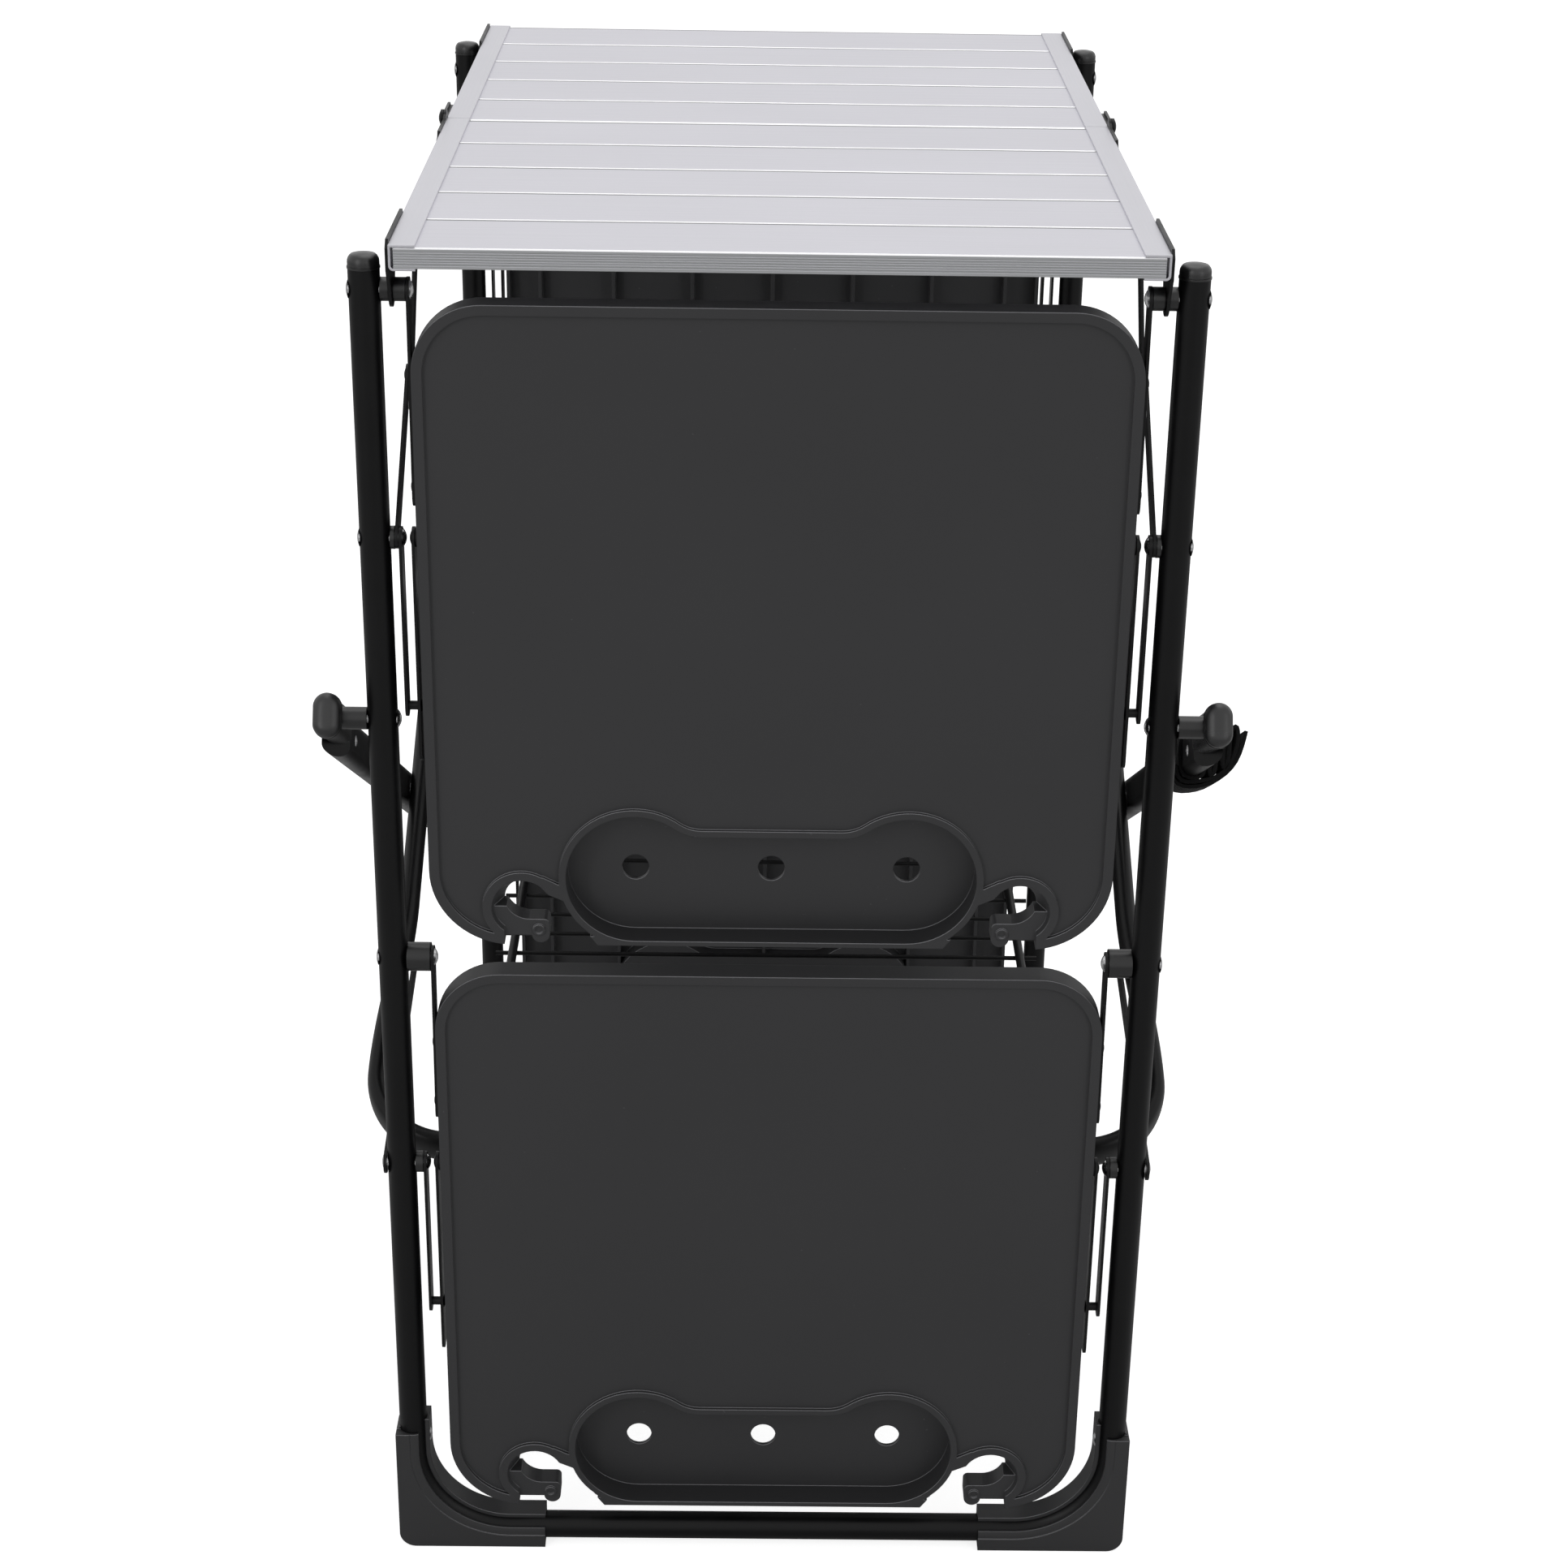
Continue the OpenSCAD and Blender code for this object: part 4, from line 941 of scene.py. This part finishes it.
@dataclass
class Studio:
    """Floor, soft lights and a white surround.

    surround is how brightly the world lights the stand, and backdrop how bright it looks in mirror
    images. floor_grey is the floor's own colour, and floor_glow lifts it to white where the camera
    sees it.
    """

    floor_size: float = 60.0
    floor_level: float = -0.0005
    floor_grey: float = 0.9
    floor_glow: float = 0.78
    surround: float = 0.38
    backdrop: float = 0.9
    lights: tuple[Softbox, ...] = (
        Softbox("key_light", (-1.7, -2.4, 1.7), 9.0, 0.3, 1.8),
        Softbox("fill_light", (1.9, -2.3, 1.5), 5.0, 0.3, 1.8),
        Softbox("top_light", (0.2, 0.6, 3.0), 16.0, 2.0, 2.0),
    )

    def make_floor(self) -> None:
        """Lays the pale floor, which shows as white and keeps the stand's shadow."""
        bpy.ops.mesh.primitive_plane_add(size=self.floor_size, location=(0, 0, self.floor_level))
        floor = bpy.context.object
        floor.name = "floor"
        sheet = ShaderSheet("pale_floor")
        grey = self.floor_grey
        sheet.fix({"Base Color": (grey, grey, grey, 1), "Roughness": 0.9, "Emission Color": (1, 1, 1, 1)})
        seen = sheet.add("ShaderNodeLightPath").outputs["Is Camera Ray"]
        lift = sheet.calculate("MULTIPLY", seen, self.floor_glow)
        sheet.join(lift, sheet.surface.inputs["Emission Strength"])
        floor.data.materials.append(sheet.material)

    def make_surround(self) -> None:
        """Makes the world white where it is seen and a plain level where it only lights."""
        world = bpy.data.worlds.new("surround")
        bpy.context.scene.world = world
        world.use_nodes = True
        tree = world.node_tree
        backdrop = tree.nodes["Background"]
        backdrop.inputs["Color"].default_value = (1, 1, 1, 1)
        rays = tree.nodes.new("ShaderNodeLightPath")
        mirrored = tree.nodes.new("ShaderNodeMapRange")
        mirrored.inputs["To Min"].default_value = self.surround
        mirrored.inputs["To Max"].default_value = self.backdrop
        level = tree.nodes.new("ShaderNodeMath")
        level.operation = "MAXIMUM"
        tree.links.new(rays.outputs["Is Glossy Ray"], mirrored.inputs["Value"])
        tree.links.new(rays.outputs["Is Camera Ray"], level.inputs[0])
        tree.links.new(mirrored.outputs["Result"], level.inputs[1])
        tree.links.new(level.outputs["Value"], backdrop.inputs["Strength"])

    def make(self) -> None:
        """Builds the whole studio."""
        self.make_floor()
        self.make_surround()
        for light in self.lights:
            light.make()
        bpy.context.scene.view_settings.view_transform = "Standard"


@dataclass
class ViewCamera:
    """The camera of the photograph, found from the stand's own straight lines."""

    place: Triple = (-0.0128, -1.7893, 1.1822)
    pitch: float = math.radians(24.141)
    yaw: float = math.radians(0.731)
    roll: float = math.radians(0.932)
    lens: float = 68.61
    sensor: float = 36.0
    sight: tuple[float, float] = (0.02, 200.0)

    def make(self) -> None:
        """Adds the camera and makes it the scene's own."""
        ahead = Vector((
            math.sin(self.yaw) * math.cos(self.pitch),
            math.cos(self.yaw) * math.cos(self.pitch),
            -math.sin(self.pitch),
        ))
        level = Vector((math.cos(self.yaw), -math.sin(self.yaw), 0))
        above = level.cross(ahead)
        right = math.cos(self.roll) * level + math.sin(self.roll) * above
        up = -math.sin(self.roll) * level + math.cos(self.roll) * above
        turn = Matrix((right, up, -ahead)).transposed()
        bpy.ops.object.camera_add(location=self.place, rotation=turn.to_euler())
        camera = bpy.context.object
        camera.name = "view_camera"
        camera.data.lens = self.lens
        camera.data.sensor_width = self.sensor
        camera.data.clip_start, camera.data.clip_end = self.sight
        bpy.context.scene.camera = camera


def main() -> None:
    """Loads the stand, dresses it and sets up the studio."""
    logging.basicConfig(level=logging.INFO, format="%(message)s")
    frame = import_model()
    ViewCamera().make()
    Studio().make()
    finishes = Finishes()
    finishes.paint_frame(frame)
    LOG.info("painted %d nodes", len(frame["nodes"]))
    for piece in WebbingStrap().make(finishes):
        LOG.info("made %s", piece.name)
    LOG.info("made %s", SprungFrame().make(finishes).name)
    deselect()


if __name__ == "__main__":
    main()
